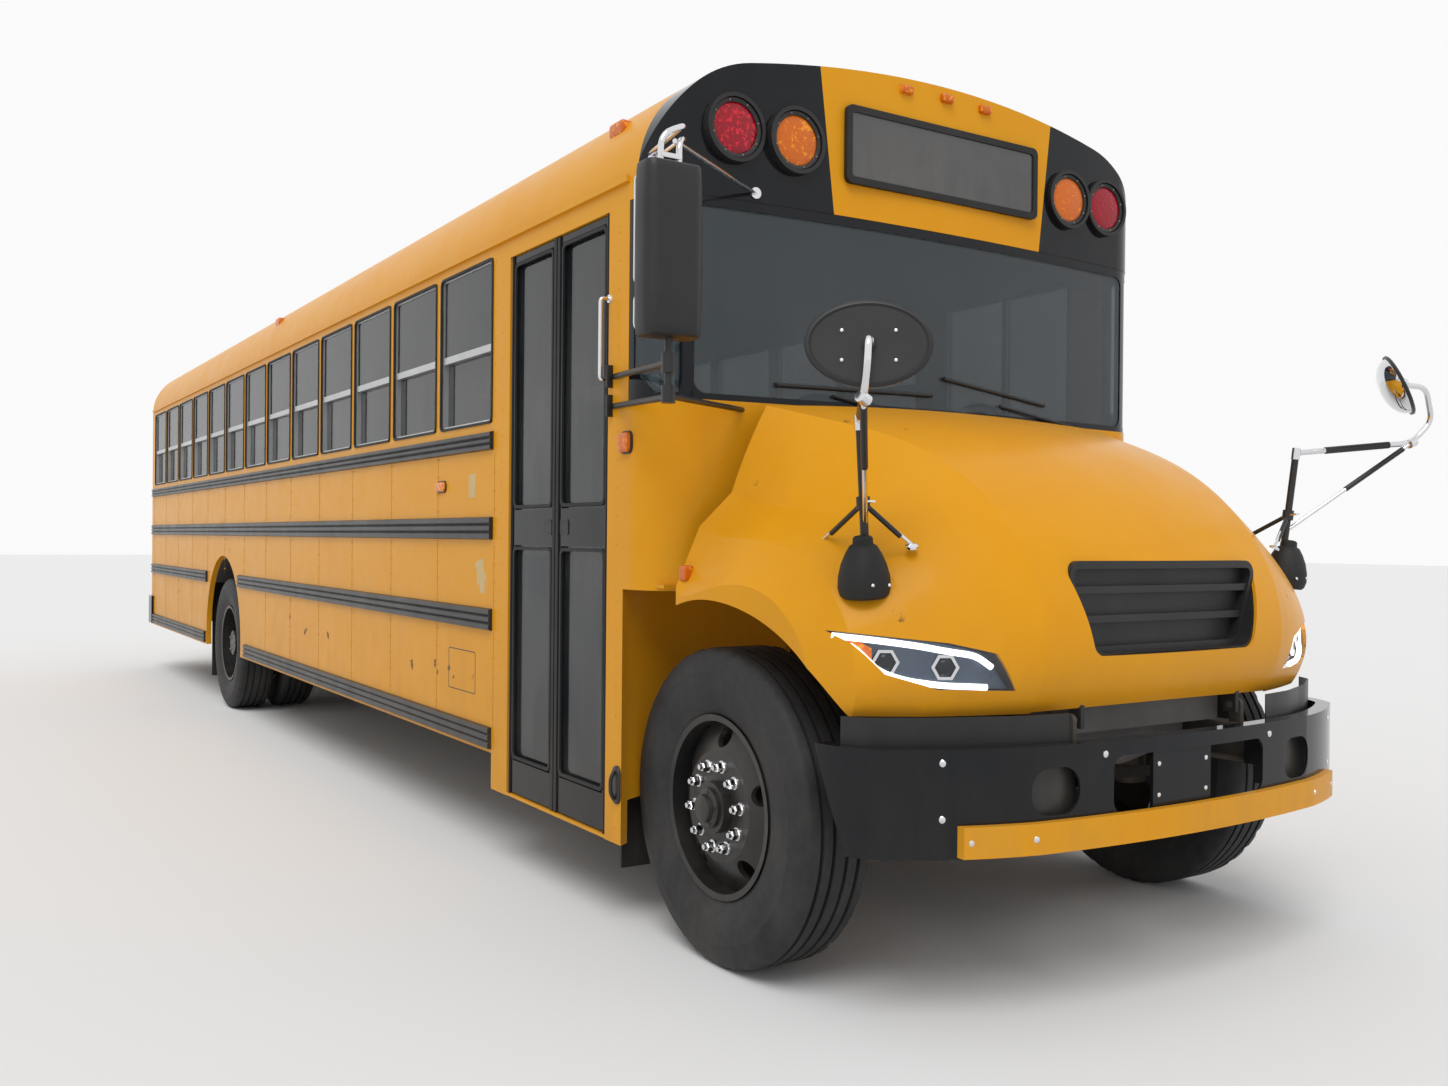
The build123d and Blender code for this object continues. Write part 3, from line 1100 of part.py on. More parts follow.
# Columns: side, head's middle, direction the head's back faces, arm's bends and its end on the head
CROSSOVERS = (
    (
        1.0,
        (FRONT_AXLE_X + 885.0, 1287.0, 1971.0),
        (0.757, 0.494, 0.42),
        (
            (FRONT_AXLE_X + 840.0, 1445.0, 1767.0),
            (FRONT_AXLE_X + 867.0, 1536.0, 1853.0),
            (FRONT_AXLE_X + 905.0, 1420.0, 1969.0),
            (FRONT_AXLE_X + 873.0, 1279.0, 1964.0),
        ),
    ),
    (
        -1.0,
        (FRONT_AXLE_X + 900.0, 1229.0, 1894.0),
        (0.80, -0.58, 0.15),
        (
            (FRONT_AXLE_X + 900.0, 1245.0, 1750.0),
            (FRONT_AXLE_X + 948.0, 1272.0, 1830.0),
            (FRONT_AXLE_X + 940.0, 1262.0, 1905.0),
            (FRONT_AXLE_X + 885.0, 1219.0, 1892.0),
        ),
    ),
)


def tube(first, last, radius):
    """Straight round tube between two points."""
    with BuildPart() as bar:
        with BuildSketch(Plane(origin=first, z_dir=last - first)):
            Circle(radius)
        extrude(amount=(last - first).length)
    return bar.part


with BuildPart() as crossover_mirrors:
    for side, head, facing, bends in CROSSOVERS:
        points = [Vector(x, side * y, z) for x, y, z in (*CROSS_MAST, *bends)]
        stay_top = Vector(CROSS_STAY_TOP[0], side * CROSS_STAY_TOP[1], CROSS_STAY_TOP[2])
        for first, last in zip(points, points[1:]):
            add(tube(first, last, CROSS_TUBE))
        with Locations(*points[1:-1]):
            Sphere(CROSS_TUBE)
        add(tube(points[0] + Vector(0.0, 0.0, CROSS_BRACE_RISE), points[2], CROSS_STAY))
        for x, y, z in CROSS_STAY_FEET:
            add(tube(Vector(x, side * y, z), stay_top, CROSS_STAY))
        with BuildSketch(Plane.XY.offset(CROSS_FOOT_Z)):
            with Locations((points[0].X, points[0].Y)):
                Circle(CROSS_BOOT_RADIUS)
        extrude(amount=CROSS_BOOT_HEIGHT, taper=CROSS_BOOT_TAPER)
        head_middle = Vector(head[0], side * head[1], head[2])
        head_plane = Plane(origin=head_middle, x_dir=(-facing[1], facing[0], 0.0), z_dir=facing)
        with BuildPart() as dome:
            for depth, half_wide, half_high in CROSS_HEAD_SECTIONS:
                with BuildSketch(head_plane.offset(-depth)):
                    Ellipse(half_wide, half_high)
            loft(ruled=True)
        add(dome.part)
    add(hood_outer, mode=Mode.SUBTRACT)
write(crossover_mirrors, "crossover_mirrors")


# Bumper plan, left half: distance back from the face, y, and the outward normal's x and y
BUMPER_PLAN = (
    ("centre", 0.0, 0.0, 1.0, 0.0),
    ("face end", 46.0, 640.0, 0.99, 0.14),
    ("corner middle", 120.0, 870.0, 0.925, 0.38),
    ("corner end", 215.0, 1050.0, 0.707, 0.707),
    ("side middle", 310.0, 1115.0, 0.386, 0.922),
    ("side end", 410.0, 1140.0, 0.1, 0.995),
)


def bumper_plan(inset, rear_x):
    """Plan outline of the front bumper: bowed face, swept corners and short sides."""
    left = [
        (BUMPER_FRONT_X - back - inset * normal_x, y - inset * normal_y)
        for name, back, y, normal_x, normal_y in BUMPER_PLAN
    ]
    right = [(x, -y) for x, y in left]
    with BuildSketch() as plan:
        with BuildLine():
            ThreePointArc(right[1], left[0], left[1])
            for half in (left, right):
                ThreePointArc(half[1], half[2], half[3])
                ThreePointArc(half[3], half[4], half[5])
                Line(half[5], (rear_x, half[5][1]))
            Line((rear_x, left[5][1]), (rear_x, right[5][1]))
        make_face()
    return plan.sketch


# Front bumper: wrapped sheet with a top flange, tow-eye holes and a central opening
TOW_HOLE_Y = 570.0
TOW_HOLE_WIDTH = 170.0
TOW_HOLE_HEIGHT = 135.0
TOW_HOLE_Z = 674.0
CENTRE_OPENING_HALF = 355.0
CENTRE_OPENING_HEIGHT = 170.0
PLATE_Y = -55.0
PLATE_WIDTH = 270.0
BUMPER_REAR_LEAN = 120.0
with BuildPart() as front_bumper:
    with BuildSketch(Plane.XY.offset(BUMPER_BOTTOM_Z)):
        add(bumper_plan(0.0, BUMPER_END_X))
        add(bumper_plan(BUMPER_SHEET, BUMPER_END_X - OVERCUT), mode=Mode.SUBTRACT)
    extrude(amount=BUMPER_TOP_Z - BUMPER_BOTTOM_Z)
    for flange_z in (BUMPER_BOTTOM_Z, BUMPER_TOP_Z - BUMPER_SHEET):
        with BuildSketch(Plane.XY.offset(flange_z)):
            add(bumper_plan(0.0, BUMPER_END_X))
            add(bumper_plan(BUMPER_FLANGE, BUMPER_END_X - OVERCUT), mode=Mode.SUBTRACT)
        extrude(amount=BUMPER_SHEET)
    with BuildSketch(Plane.YZ.offset(BUMPER_FRONT_X - 200.0)):
        for side in SIDES:
            with Locations((side * TOW_HOLE_Y, TOW_HOLE_Z)):
                RectangleRounded(TOW_HOLE_WIDTH, TOW_HOLE_HEIGHT, 60.0)
        with Locations((0.0, TOW_HOLE_Z)):
            RectangleRounded(2.0 * CENTRE_OPENING_HALF, CENTRE_OPENING_HEIGHT, 40.0)
    extrude(amount=300.0, mode=Mode.SUBTRACT)
    with BuildSketch(Plane.YZ.offset(BUMPER_FRONT_X - 18.0)):
        with Locations((PLATE_Y, TOW_HOLE_Z)):
            Rectangle(PLATE_WIDTH, CENTRE_OPENING_HEIGHT + 20.0)
    extrude(amount=11.0)
    with BuildSketch(Plane.YZ.offset(BUMPER_MOUNT_X)):
        for side in SIDES:
            with Locations((side * (RAIL_OUTER_Y - RAIL_FLANGE / 2.0), (RAIL_BOTTOM_Z + HORN_TOP_Z) / 2.0)):
                Rectangle(RAIL_FLANGE, HORN_TOP_Z - RAIL_BOTTOM_Z)
    extrude(amount=BUMPER_MOUNT_LENGTH)
    with BuildSketch(Plane.XZ):
        with BuildLine():
            Polyline(
                (BUMPER_END_X - 50.0, BUMPER_BOTTOM_Z - 5.0),
                (BUMPER_END_X + BUMPER_REAR_LEAN, BUMPER_BOTTOM_Z - 5.0),
                (BUMPER_END_X, BUMPER_TOP_Z + 5.0),
                (BUMPER_END_X - 50.0, BUMPER_TOP_Z + 5.0),
                close=True,
            )
        make_face()
    extrude(amount=BODY_HALF, both=True, mode=Mode.SUBTRACT)
write(front_bumper, "front_bumper")

# Yellow bump strip along the bumper's lower edge
STRIP_LOW_Z = 506.0
STRIP_HIGH_Z = 594.0
with BuildPart() as bumper_strip:
    with BuildSketch(Plane.XY.offset(STRIP_LOW_Z)):
        add(bumper_plan(-STRIP_THICKNESS, BUMPER_END_X))
        add(bumper_plan(0.0, BUMPER_END_X - OVERCUT), mode=Mode.SUBTRACT)
        with Locations((BUMPER_FRONT_X - 200.0, 0.0)):
            Rectangle(700.0, 2.0 * STRIP_HALF, mode=Mode.INTERSECT)
    extrude(amount=STRIP_HIGH_Z - STRIP_LOW_Z)
write(bumper_strip, "bumper_strip")

# Rear bumper: deep channel wrapped round the rear corners
REAR_BUMPER_LOW_Z = 470.0
REAR_BUMPER_HIGH_Z = 745.0
REAR_BUMPER_CORNER = 160.0
with BuildPart() as rear_bumper:
    with BuildSketch(Plane.XY.offset(REAR_BUMPER_LOW_Z)):
        with Locations(((REAR_BUMPER_X + REAR_BUMPER_END_X) / 2.0, 0.0)):
            Rectangle(REAR_BUMPER_END_X - REAR_BUMPER_X, 2.0 * (BODY_HALF + 22.0))
    extrude(amount=REAR_BUMPER_HIGH_Z - REAR_BUMPER_LOW_Z)
    fillet(rear_bumper.edges().filter_by(Axis.Z).group_by(Axis.X)[0], REAR_BUMPER_CORNER)
    with BuildSketch(Plane.XY.offset(REAR_BUMPER_LOW_Z - 5.0)):
        with Locations(((REAR_FACE_X + REAR_BUMPER_END_X) / 2.0, 0.0)):
            Rectangle(REAR_BUMPER_END_X - REAR_FACE_X + 4.0, 2.0 * BODY_HALF)
    extrude(amount=REAR_BUMPER_HIGH_Z, mode=Mode.SUBTRACT)
write(rear_bumper, "rear_bumper")

# Bench seats: cushions with tall backs in two columns, on steel frames
SEAT_ROWS = 12
SEAT_PITCH = 700.0
SEAT_FRONT_X = 3180.0
SEAT_WIDTH = 985.0
SEAT_AISLE_Y = 185.0
CUSHION_LENGTH = 400.0
CUSHION_LOW_Z = FLOOR_Z + 330.0
CUSHION_HIGH_Z = CUSHION_LOW_Z + 120.0
BACK_HIGH_Z = CUSHION_LOW_Z + 720.0
BACK_THICKNESS = 85.0
seat_centre_y = SEAT_AISLE_Y + SEAT_WIDTH / 2.0
seat_rows = [SEAT_FRONT_X - number * SEAT_PITCH for number in range(SEAT_ROWS)]
with BuildPart() as bench_seats:
    for side in SIDES:
        with BuildSketch(Plane.XZ.offset(-side * seat_centre_y)):
            for front_x in seat_rows:
                with BuildLine():
                    Polyline(
                        (front_x, CUSHION_LOW_Z),
                        (front_x, CUSHION_HIGH_Z),
                        (front_x - CUSHION_LENGTH, CUSHION_HIGH_Z - 12.0),
                        (front_x - CUSHION_LENGTH - 75.0, BACK_HIGH_Z),
                        (front_x - CUSHION_LENGTH - 75.0 - BACK_THICKNESS, BACK_HIGH_Z),
                        (front_x - CUSHION_LENGTH - BACK_THICKNESS, CUSHION_LOW_Z),
                        close=True,
                    )
                make_face()
        extrude(amount=SEAT_WIDTH / 2.0, both=True)
write(bench_seats, "bench_seats")

LEG_TUBE = 26.0
with BuildPart() as seat_frames:
    for side in SIDES:
        for front_x in seat_rows:
            for leg_x in (front_x - 60.0, front_x - CUSHION_LENGTH):
                with Locations((leg_x, side * (SEAT_AISLE_Y + 60.0), (FLOOR_Z + CUSHION_LOW_Z) / 2.0)):
                    Box(LEG_TUBE, LEG_TUBE, CUSHION_LOW_Z - FLOOR_Z)
            with Locations((front_x - 230.0, side * (SEAT_AISLE_Y + 60.0), FLOOR_Z + 60.0)):
                Box(340.0, LEG_TUBE, LEG_TUBE)
write(seat_frames, "seat_frames")

# Driver's seat on its pedestal
DRIVER_X = 3720.0
DRIVER_Y = 560.0
DRIVER_SEAT_HALF = 255.0
PEDESTAL_LENGTH = 300.0
PEDESTAL_WIDTH = 320.0
PEDESTAL_HEIGHT = 340.0
# Seat's side outline: distance ahead of its middle, and height over the floor
DRIVER_SEAT_OUTLINE = (
    (260.0, PEDESTAL_HEIGHT),
    (260.0, 450.0),
    (-170.0, 430.0),
    (-290.0, 1080.0),
    (-400.0, 1080.0),
    (-280.0, PEDESTAL_HEIGHT),
)
with BuildPart() as driver_seat:
    with Locations((DRIVER_X, DRIVER_Y, FLOOR_Z + PEDESTAL_HEIGHT / 2.0)):
        Box(PEDESTAL_LENGTH, PEDESTAL_WIDTH, PEDESTAL_HEIGHT)
    with BuildSketch(Plane.XZ.offset(-DRIVER_Y)):
        with BuildLine():
            Polyline(*[(DRIVER_X + ahead, FLOOR_Z + up) for ahead, up in DRIVER_SEAT_OUTLINE], close=True)
        make_face()
    extrude(amount=DRIVER_SEAT_HALF, both=True)
write(driver_seat, "driver_seat")

# Dashboard with the steering column and wheel
DASH_REAR_X = FRONT_AXLE_X - 560.0
WHEEL_CENTRE = Vector(FRONT_AXLE_X - 690.0, DRIVER_Y, 1800.0)
WHEEL_TILT = Vector(-0.42, 0.0, 0.9)
WHEEL_RIM = 225.0
WHEEL_HUB_RADIUS = 45.0
SPOKE_WIDTH = 32.0
COLUMN_RADIUS = 28.0
DASH_WIDTH = 1500.0
DASH_LEFT_Y = BODY_HALF - WALL - 60.0
DASH_FRONT_X = NOSE_SIDE_X - 150.0
DASH_KNEE_Z = 1560.0
with BuildPart() as dashboard:
    with BuildSketch(Plane.XZ.offset(-DASH_LEFT_Y)):
        with BuildLine():
            Polyline(
                (DASH_REAR_X + 60.0, SHELF_Z + WHEELHOUSE_SHEET),
                (DASH_REAR_X + 60.0, DASH_KNEE_Z),
                (DASH_REAR_X, 1700.0),
                (DASH_REAR_X + 40.0, 1800.0),
                (DASH_FRONT_X, 1840.0),
                (DASH_FRONT_X, SHELF_Z + WHEELHOUSE_SHEET),
                close=True,
            )
        make_face()
    extrude(amount=DASH_WIDTH)
    column_foot = Vector(DASH_REAR_X + 80.0, DRIVER_Y, DASH_KNEE_Z)
    add(tube(column_foot, WHEEL_CENTRE, COLUMN_RADIUS))
    wheel_plane = Plane(origin=WHEEL_CENTRE, z_dir=WHEEL_TILT)
    with BuildSketch(wheel_plane):
        Circle(WHEEL_RIM)
        Circle(WHEEL_RIM - 30.0, mode=Mode.SUBTRACT)
        Circle(WHEEL_HUB_RADIUS)
        with PolarLocations(WHEEL_RIM / 2.0, 3, start_angle=90.0):
            Rectangle(WHEEL_RIM - 20.0, SPOKE_WIDTH)
    extrude(amount=24.0)
write(dashboard, "dashboard")

# Flat side mirror in a tall housing on the right, and its arms; the left one is missing
MIRROR_X = FRONT_AXLE_X + 250.0
MIRROR_Y = -1450.0
MIRROR_LOW_Z = 1972.0
MIRROR_HIGH_Z = 2476.0
MIRROR_WIDTH = 196.0
MIRROR_DEPTH = 120.0
MIRROR_CORNER = 45.0
MIRROR_ROUND = 38.0
with BuildPart() as side_mirrors:
    with BuildSketch(Plane.YZ.offset(MIRROR_X - MIRROR_DEPTH / 2.0)):
        with Locations((MIRROR_Y, (MIRROR_LOW_Z + MIRROR_HIGH_Z) / 2.0)):
            RectangleRounded(MIRROR_WIDTH, MIRROR_HIGH_Z - MIRROR_LOW_Z, MIRROR_CORNER)
    extrude(amount=MIRROR_DEPTH)
    fillet(side_mirrors.faces().sort_by(Axis.X)[-1].edges(), MIRROR_ROUND)
write(side_mirrors, "side_mirrors")

ARM_TUBE = 12.0
ARM_POST_X = FRONT_AXLE_X - 535.0
MIRROR_ARMS = (
    ("lower tube", ((MIRROR_X, MIRROR_Y, 1797.0), (MIRROR_X, MIRROR_Y, MIRROR_LOW_Z + 30.0))),
    ("upper arm", ((ARM_POST_X, -BODY_HALF + 5.0, 1955.0), (MIRROR_X, MIRROR_Y, 1897.0))),
    ("lower arm", ((ARM_POST_X, -BODY_HALF + 5.0, 1850.0), (MIRROR_X, MIRROR_Y, 1797.0))),
    ("stay", ((MIRROR_X, MIRROR_Y, 1797.0), (NOSE_SIDE_X + 20.0, -880.0, 1830.0))),
    (
        "top hook",
        (
            (MIRROR_X, MIRROR_Y, MIRROR_HIGH_Z - 30.0),
            (MIRROR_X + 12.0, MIRROR_Y, 2590.0),
            (FRONT_AXLE_X - 305.0, -1205.0, 2690.0),
        ),
    ),
    ("top rod", ((MIRROR_X + 8.0, MIRROR_Y, 2545.0), (NOSE_SIDE_X + 20.0, -845.0, 2585.0))),
)
with BuildPart() as mirror_arms:
    for name, path in MIRROR_ARMS:
        points = [Vector(*point) for point in path]
        for first, last in zip(points, points[1:]):
            add(tube(first, last, ARM_TUBE))
        if len(points) > 2:
            with Locations(*points[1:-1]):
                Sphere(ARM_TUBE)
    with Locations((MIRROR_X, MIRROR_Y, 1797.0)):
        Sphere(ARM_TUBE)
    for neighbour in (cap_outer, frame_outer, cowl_outer, right_panel, side_mirrors.part):
        add(neighbour, mode=Mode.SUBTRACT)
write(mirror_arms, "mirror_arms")

# Lamps: hooded warning lamps at both ends, rear signal lamps and small markers
LENS_RADIUS = 104.0
HOOD_RING = 14.0
LENS_PROUD = 8.0
LAMP_DEPTH = 90.0
RING_PROUD = 25.0
WARNING_LAMPS = (("red", 935.0, 2796.0), ("amber", 690.0, 2790.0))
SIGNAL_LAMPS = (("red", 915.0, 1560.0, 88.0), ("red", 700.0, 1560.0, 88.0), ("amber", 915.0, 1290.0, 88.0))
MARKER_BOXES = (
    ("front centre", NOSE_X - 20.0, 0.0, 3066.0, 80.0, 60.0, 34.0),
    ("front pair", NOSE_X - 24.0, 200.0, 3062.0, 80.0, 60.0, 34.0),
    ("roof front", FRONT_AXLE_X - 671.0, 1120.0, 2880.0, 110.0, 60.0, 60.0),
    ("roof middle", FRONT_AXLE_X - 5766.0, 1120.0, 2880.0, 110.0, 60.0, 60.0),
    ("side", FRONT_AXLE_X - 2250.0, BODY_HALF, 1613.0, 110.0, 32.0, 46.0),
    ("cowl side", FRONT_AXLE_X - 431.0, BODY_HALF, 1715.0, 70.0, 44.0, 70.0),
)


def lamp_disc(lamp_x, lamp_y, lamp_z, radius, hole, length):
    """Round disc or ring along X, from its base towards the viewer's end."""
    with BuildPart() as disc:
        with BuildSketch(Plane.YZ.offset(lamp_x)):
            with Locations((lamp_y, lamp_z)):
                Circle(radius)
                if hole > 0.0:
                    Circle(hole, mode=Mode.SUBTRACT)
        extrude(amount=length)
    return disc.part


def lamp_front_x(lamp_y):
    """Where the cap's bowed face stands at a lamp's middle."""
    return NOSE_X - (NOSE_X - NOSE_SIDE_X) * (lamp_y / BODY_HALF) ** 2


def warning_set(colour, radius, hole, proud):
    """The four warning lamps' discs of one colour, or their hoods, cut to seat on the shell."""
    pieces = []
    for name, lamp_y, lamp_z in WARNING_LAMPS:
        if colour in (name, "all"):
            for side in SIDES:
                base_x = lamp_front_x(lamp_y) - LAMP_DEPTH
                pieces.append(lamp_disc(base_x, side * lamp_y, lamp_z, radius, hole, LAMP_DEPTH + proud))
                pieces.append(lamp_disc(REAR_FACE_X, side * lamp_y, lamp_z, radius, hole, -proud))
    return pieces


with BuildPart() as lamp_hoods:
    add(warning_set("all", LENS_RADIUS + HOOD_RING, LENS_RADIUS, RING_PROUD))
    add(cap_outer, mode=Mode.SUBTRACT)
write(lamp_hoods, "lamp_hoods")

with BuildPart() as red_lamps:
    add(warning_set("red", LENS_RADIUS, 0.0, LENS_PROUD))
    add([lamp_disc(REAR_FACE_X, side * y, z, radius, 0.0, -LENS_PROUD)
         for colour, y, z, radius in SIGNAL_LAMPS if colour == "red" for side in SIDES])
    add(cap_outer, mode=Mode.SUBTRACT)
write(red_lamps, "red_lamps")

with BuildPart() as amber_lamps:
    add(warning_set("amber", LENS_RADIUS, 0.0, LENS_PROUD))
    add([lamp_disc(REAR_FACE_X, side * y, z, radius, 0.0, -LENS_PROUD)
         for colour, y, z, radius in SIGNAL_LAMPS if colour == "amber" for side in SIDES])
    for name, marker_x, marker_y, marker_z, length, depth, height in MARKER_BOXES:
        for side in SIDES if marker_y > 0.0 else (1.0,):
            with Locations((marker_x, side * marker_y, marker_z)):
                Box(length, depth, height)
    for neighbour in (cap_outer, cowl_outer, roof.part, left_panel, right_panel):
        add(neighbour, mode=Mode.SUBTRACT)
write(amber_lamps, "amber_lamps")

# Sign glass on the cap's brow
SIGN_HALF = 473.0
SIGN_LOW_Z = 2684.0
SIGN_HIGH_Z = 2945.0
SIGN_PROUD = 7.0
with BuildPart() as sign_glass:
    with BuildSketch(Plane.YZ.offset(NOSE_X - 40.0)):
        with Locations((0.0, (SIGN_LOW_Z + SIGN_HIGH_Z) / 2.0)):
            RectangleRounded(2.0 * SIGN_HALF, SIGN_HIGH_Z - SIGN_LOW_Z, 18.0)
    extrude(amount=40.0 + SIGN_PROUD)
    add(cap_outer, mode=Mode.SUBTRACT)
write(sign_glass, "sign_glass")

# Mud flaps behind the wheels
FLAP = 8.0
FLAP_LOW_Z = 190.0
REAR_FLAP_X = REAR_AXLE_X - 690.0
with BuildPart() as mud_flaps:
    for side in SIDES:
        with Locations((FLOOR_FRONT_X + FLAP / 2.0, side * 1010.0, (FLAP_LOW_Z + SKIRT_Z) / 2.0)):
            Box(FLAP, 270.0, SKIRT_Z - FLAP_LOW_Z)
        with Locations((REAR_FLAP_X, side * 860.0, (FLAP_LOW_Z + FLOOR_Z - FLOOR_PLATE) / 2.0)):
            Box(FLAP, 610.0, FLOOR_Z - FLOOR_PLATE - FLAP_LOW_Z)
write(mud_flaps, "mud_flaps")

# Wipers: arms and blades lying along the foot of the windscreen
WIPERS = (
    ("left", (740.0, 1852.0), (300.0, 1915.0), (560.0, 1935.0), (0.0, 2000.0)),
    ("right", (-260.0, 1852.0), (-520.0, 1900.0), (-760.0, 1925.0), (-60.0, 1932.0)),
)
WIPER_STANDOFF = 2.0


def on_screen(y, z, standoff):
    """Point in front of the bowed windscreen."""
    bow = (NOSE_X - NOSE_SIDE_X) * (y / BODY_HALF) ** 2
    return Vector(NOSE_X - bow + standoff, y, z)


with BuildPart() as wipers:
    for name, pivot, elbow, blade_start, blade_end in WIPERS:
        add(tube(on_screen(*pivot, -4.0), on_screen(*pivot, 30.0), 14.0))
        add(tube(on_screen(*pivot, 22.0), on_screen(*elbow, WIPER_STANDOFF), 6.0))
        add(tube(on_screen(*blade_start, WIPER_STANDOFF), on_screen(*blade_end, WIPER_STANDOFF), 8.0))
    for neighbour in (cowl.part, windscreen_frame.part, windscreen.part):
        add(neighbour, mode=Mode.SUBTRACT)
write(wipers, "wipers")


# Entrance door: two framed leaves, each with a tall and a low pane, on full-height pivot rods
LEAF_TOP_RAIL = 30.0
leaf_low_z = DOOR_BOTTOM_Z + DOOR_EDGE_GAP
leaf_high_z = DOOR_TOP_Z - DOOR_EDGE_GAP
leaf_middle_y = -(BODY_HALF - LEAF_RECESS - LEAF_THICKNESS / 2.0)
leaf_width = (DOOR_WIDTH - 2.0 * DOOR_EDGE_GAP - DOOR_MEETING_GAP) / 2.0
leaf_centres = (
    DOOR_FRONT_X - DOOR_EDGE_GAP - leaf_width / 2.0,
    DOOR_FRONT_X - DOOR_WIDTH + DOOR_EDGE_GAP + leaf_width / 2.0,
)
LEAF_PANES = (
    ("upper", LEAF_BAND_TOP_Z, DOOR_TOP_Z - LEAF_TOP_RAIL),
    ("lower", DOOR_BOTTOM_Z + LEAF_FOOT, LEAF_BAND_BOTTOM_Z),
)


def pane_sketch(centre_x, grow):
    """Outlines of a leaf's two panes."""
    with BuildSketch() as panes:
        for name, low, high in LEAF_PANES:
            with Locations((centre_x, (low + high) / 2.0)):
                Rectangle(leaf_width - 2.0 * LEAF_STILE + grow, high - low + grow)
    return panes.sketch


for leaf_name, centre_x, hinge_x in zip(("front", "rear"), leaf_centres, door_hinge_x):
    with BuildPart() as door_leaf:
        with BuildSketch(Plane.XZ.offset(-leaf_middle_y)):
            with Locations((centre_x, (leaf_low_z + leaf_high_z) / 2.0)):
                Rectangle(leaf_width, leaf_high_z - leaf_low_z)
            add(pane_sketch(centre_x, 0.0), mode=Mode.SUBTRACT)
        extrude(amount=LEAF_THICKNESS / 2.0, both=True)
        with BuildSketch(Plane.XY.offset(DOOR_BOTTOM_Z - DOOR_PIN_LENGTH + 2.0)):
            with Locations((hinge_x, DOOR_HINGE_Y)):
                Circle(DOOR_PIN_RADIUS)
        extrude(amount=DOOR_TOP_Z - DOOR_BOTTOM_Z + 2.0 * DOOR_PIN_LENGTH - 2.0)
    write(door_leaf, f"door_leaf_{leaf_name}")
    with BuildPart() as door_glass:
        with BuildSketch(Plane.XZ.offset(-leaf_middle_y)):
            add(pane_sketch(centre_x, 0.0))
        extrude(amount=GLASS / 2.0, both=True)
    write(door_glass, f"door_glass_{leaf_name}")

# Emergency door at the rear, on a pivot rod at its right edge
EXIT_PANES = (("upper", 1900.0, 2400.0), ("lower", 1330.0, 1700.0))
EXIT_STILE = 70.0
exit_middle_x = REAR_FACE_X + LEAF_RECESS + LEAF_THICKNESS / 2.0
exit_leaf_half = EXIT_HALF - DOOR_EDGE_GAP
with BuildPart() as emergency_door:
    with BuildSketch(Plane.YZ.offset(exit_middle_x)):
        with Locations((0.0, (EXIT_BOTTOM_Z + EXIT_TOP_Z) / 2.0)):
            Rectangle(2.0 * exit_leaf_half, EXIT_TOP_Z - EXIT_BOTTOM_Z - 2.0 * DOOR_EDGE_GAP)
        for name, low, high in EXIT_PANES:
            with Locations((0.0, (low + high) / 2.0)):
                RectangleRounded(2.0 * (exit_leaf_half - EXIT_STILE), high - low, 40.0, mode=Mode.SUBTRACT)
    extrude(amount=LEAF_THICKNESS / 2.0, both=True)
    with BuildSketch(Plane.XY.offset(EXIT_BOTTOM_Z - DOOR_PIN_LENGTH)):
        with Locations((EXIT_HINGE_X, EXIT_HINGE_Y)):
            Circle(DOOR_PIN_RADIUS)
    extrude(amount=EXIT_TOP_Z - EXIT_BOTTOM_Z + 2.0 * DOOR_PIN_LENGTH)
write(emergency_door, "emergency_door")
with BuildPart() as emergency_door_glass:
    with BuildSketch(Plane.YZ.offset(exit_middle_x)):
        for name, low, high in EXIT_PANES:
            with Locations((0.0, (low + high) / 2.0)):
                RectangleRounded(2.0 * (exit_leaf_half - EXIT_STILE), high - low, 40.0)
    extrude(amount=GLASS / 2.0, both=True)
write(emergency_door_glass, "emergency_door_glass")

# Roof hatch lids on pivot rods at their front edges
LID_THICKNESS = 18.0
HATCH_NOTCH = 52.0
for hatch_name, hatch_x in HATCHES:
    lid_half = HATCH_HALF + HATCH_CURB
    pin_x = hatch_x + lid_half + HATCH_PIN_OUT
    with BuildPart() as hatch_lid:
        with BuildSketch(Plane.XY.offset(roof_crown_z + HATCH_LIP + SEAT_GAP)):
            with Locations((hatch_x, 0.0)):
                RectangleRounded(2.0 * lid_half, 2.0 * lid_half, 40.0)
            with Locations((hatch_x + lid_half - 10.0, 0.0)):
                Rectangle(2.0 * HATCH_PIN_OUT + 20.0, 2.0 * (HATCH_LUG_Y - 14.0))
            with Locations((pin_x - HATCH_PIN_OUT, -HATCH_LUG_Y), (pin_x - HATCH_PIN_OUT, HATCH_LUG_Y)):
                Rectangle(HATCH_NOTCH, 2.0 * 14.0, mode=Mode.SUBTRACT)
        extrude(amount=LID_THICKNESS)
        with BuildSketch(Plane.XZ):
            with Locations((pin_x, hatch_pin_z)):
                Circle(HATCH_PIN_RADIUS)
        extrude(amount=HATCH_LUG_Y + 8.0, both=True)
    write(hatch_lid, f"roof_hatch_{hatch_name}")

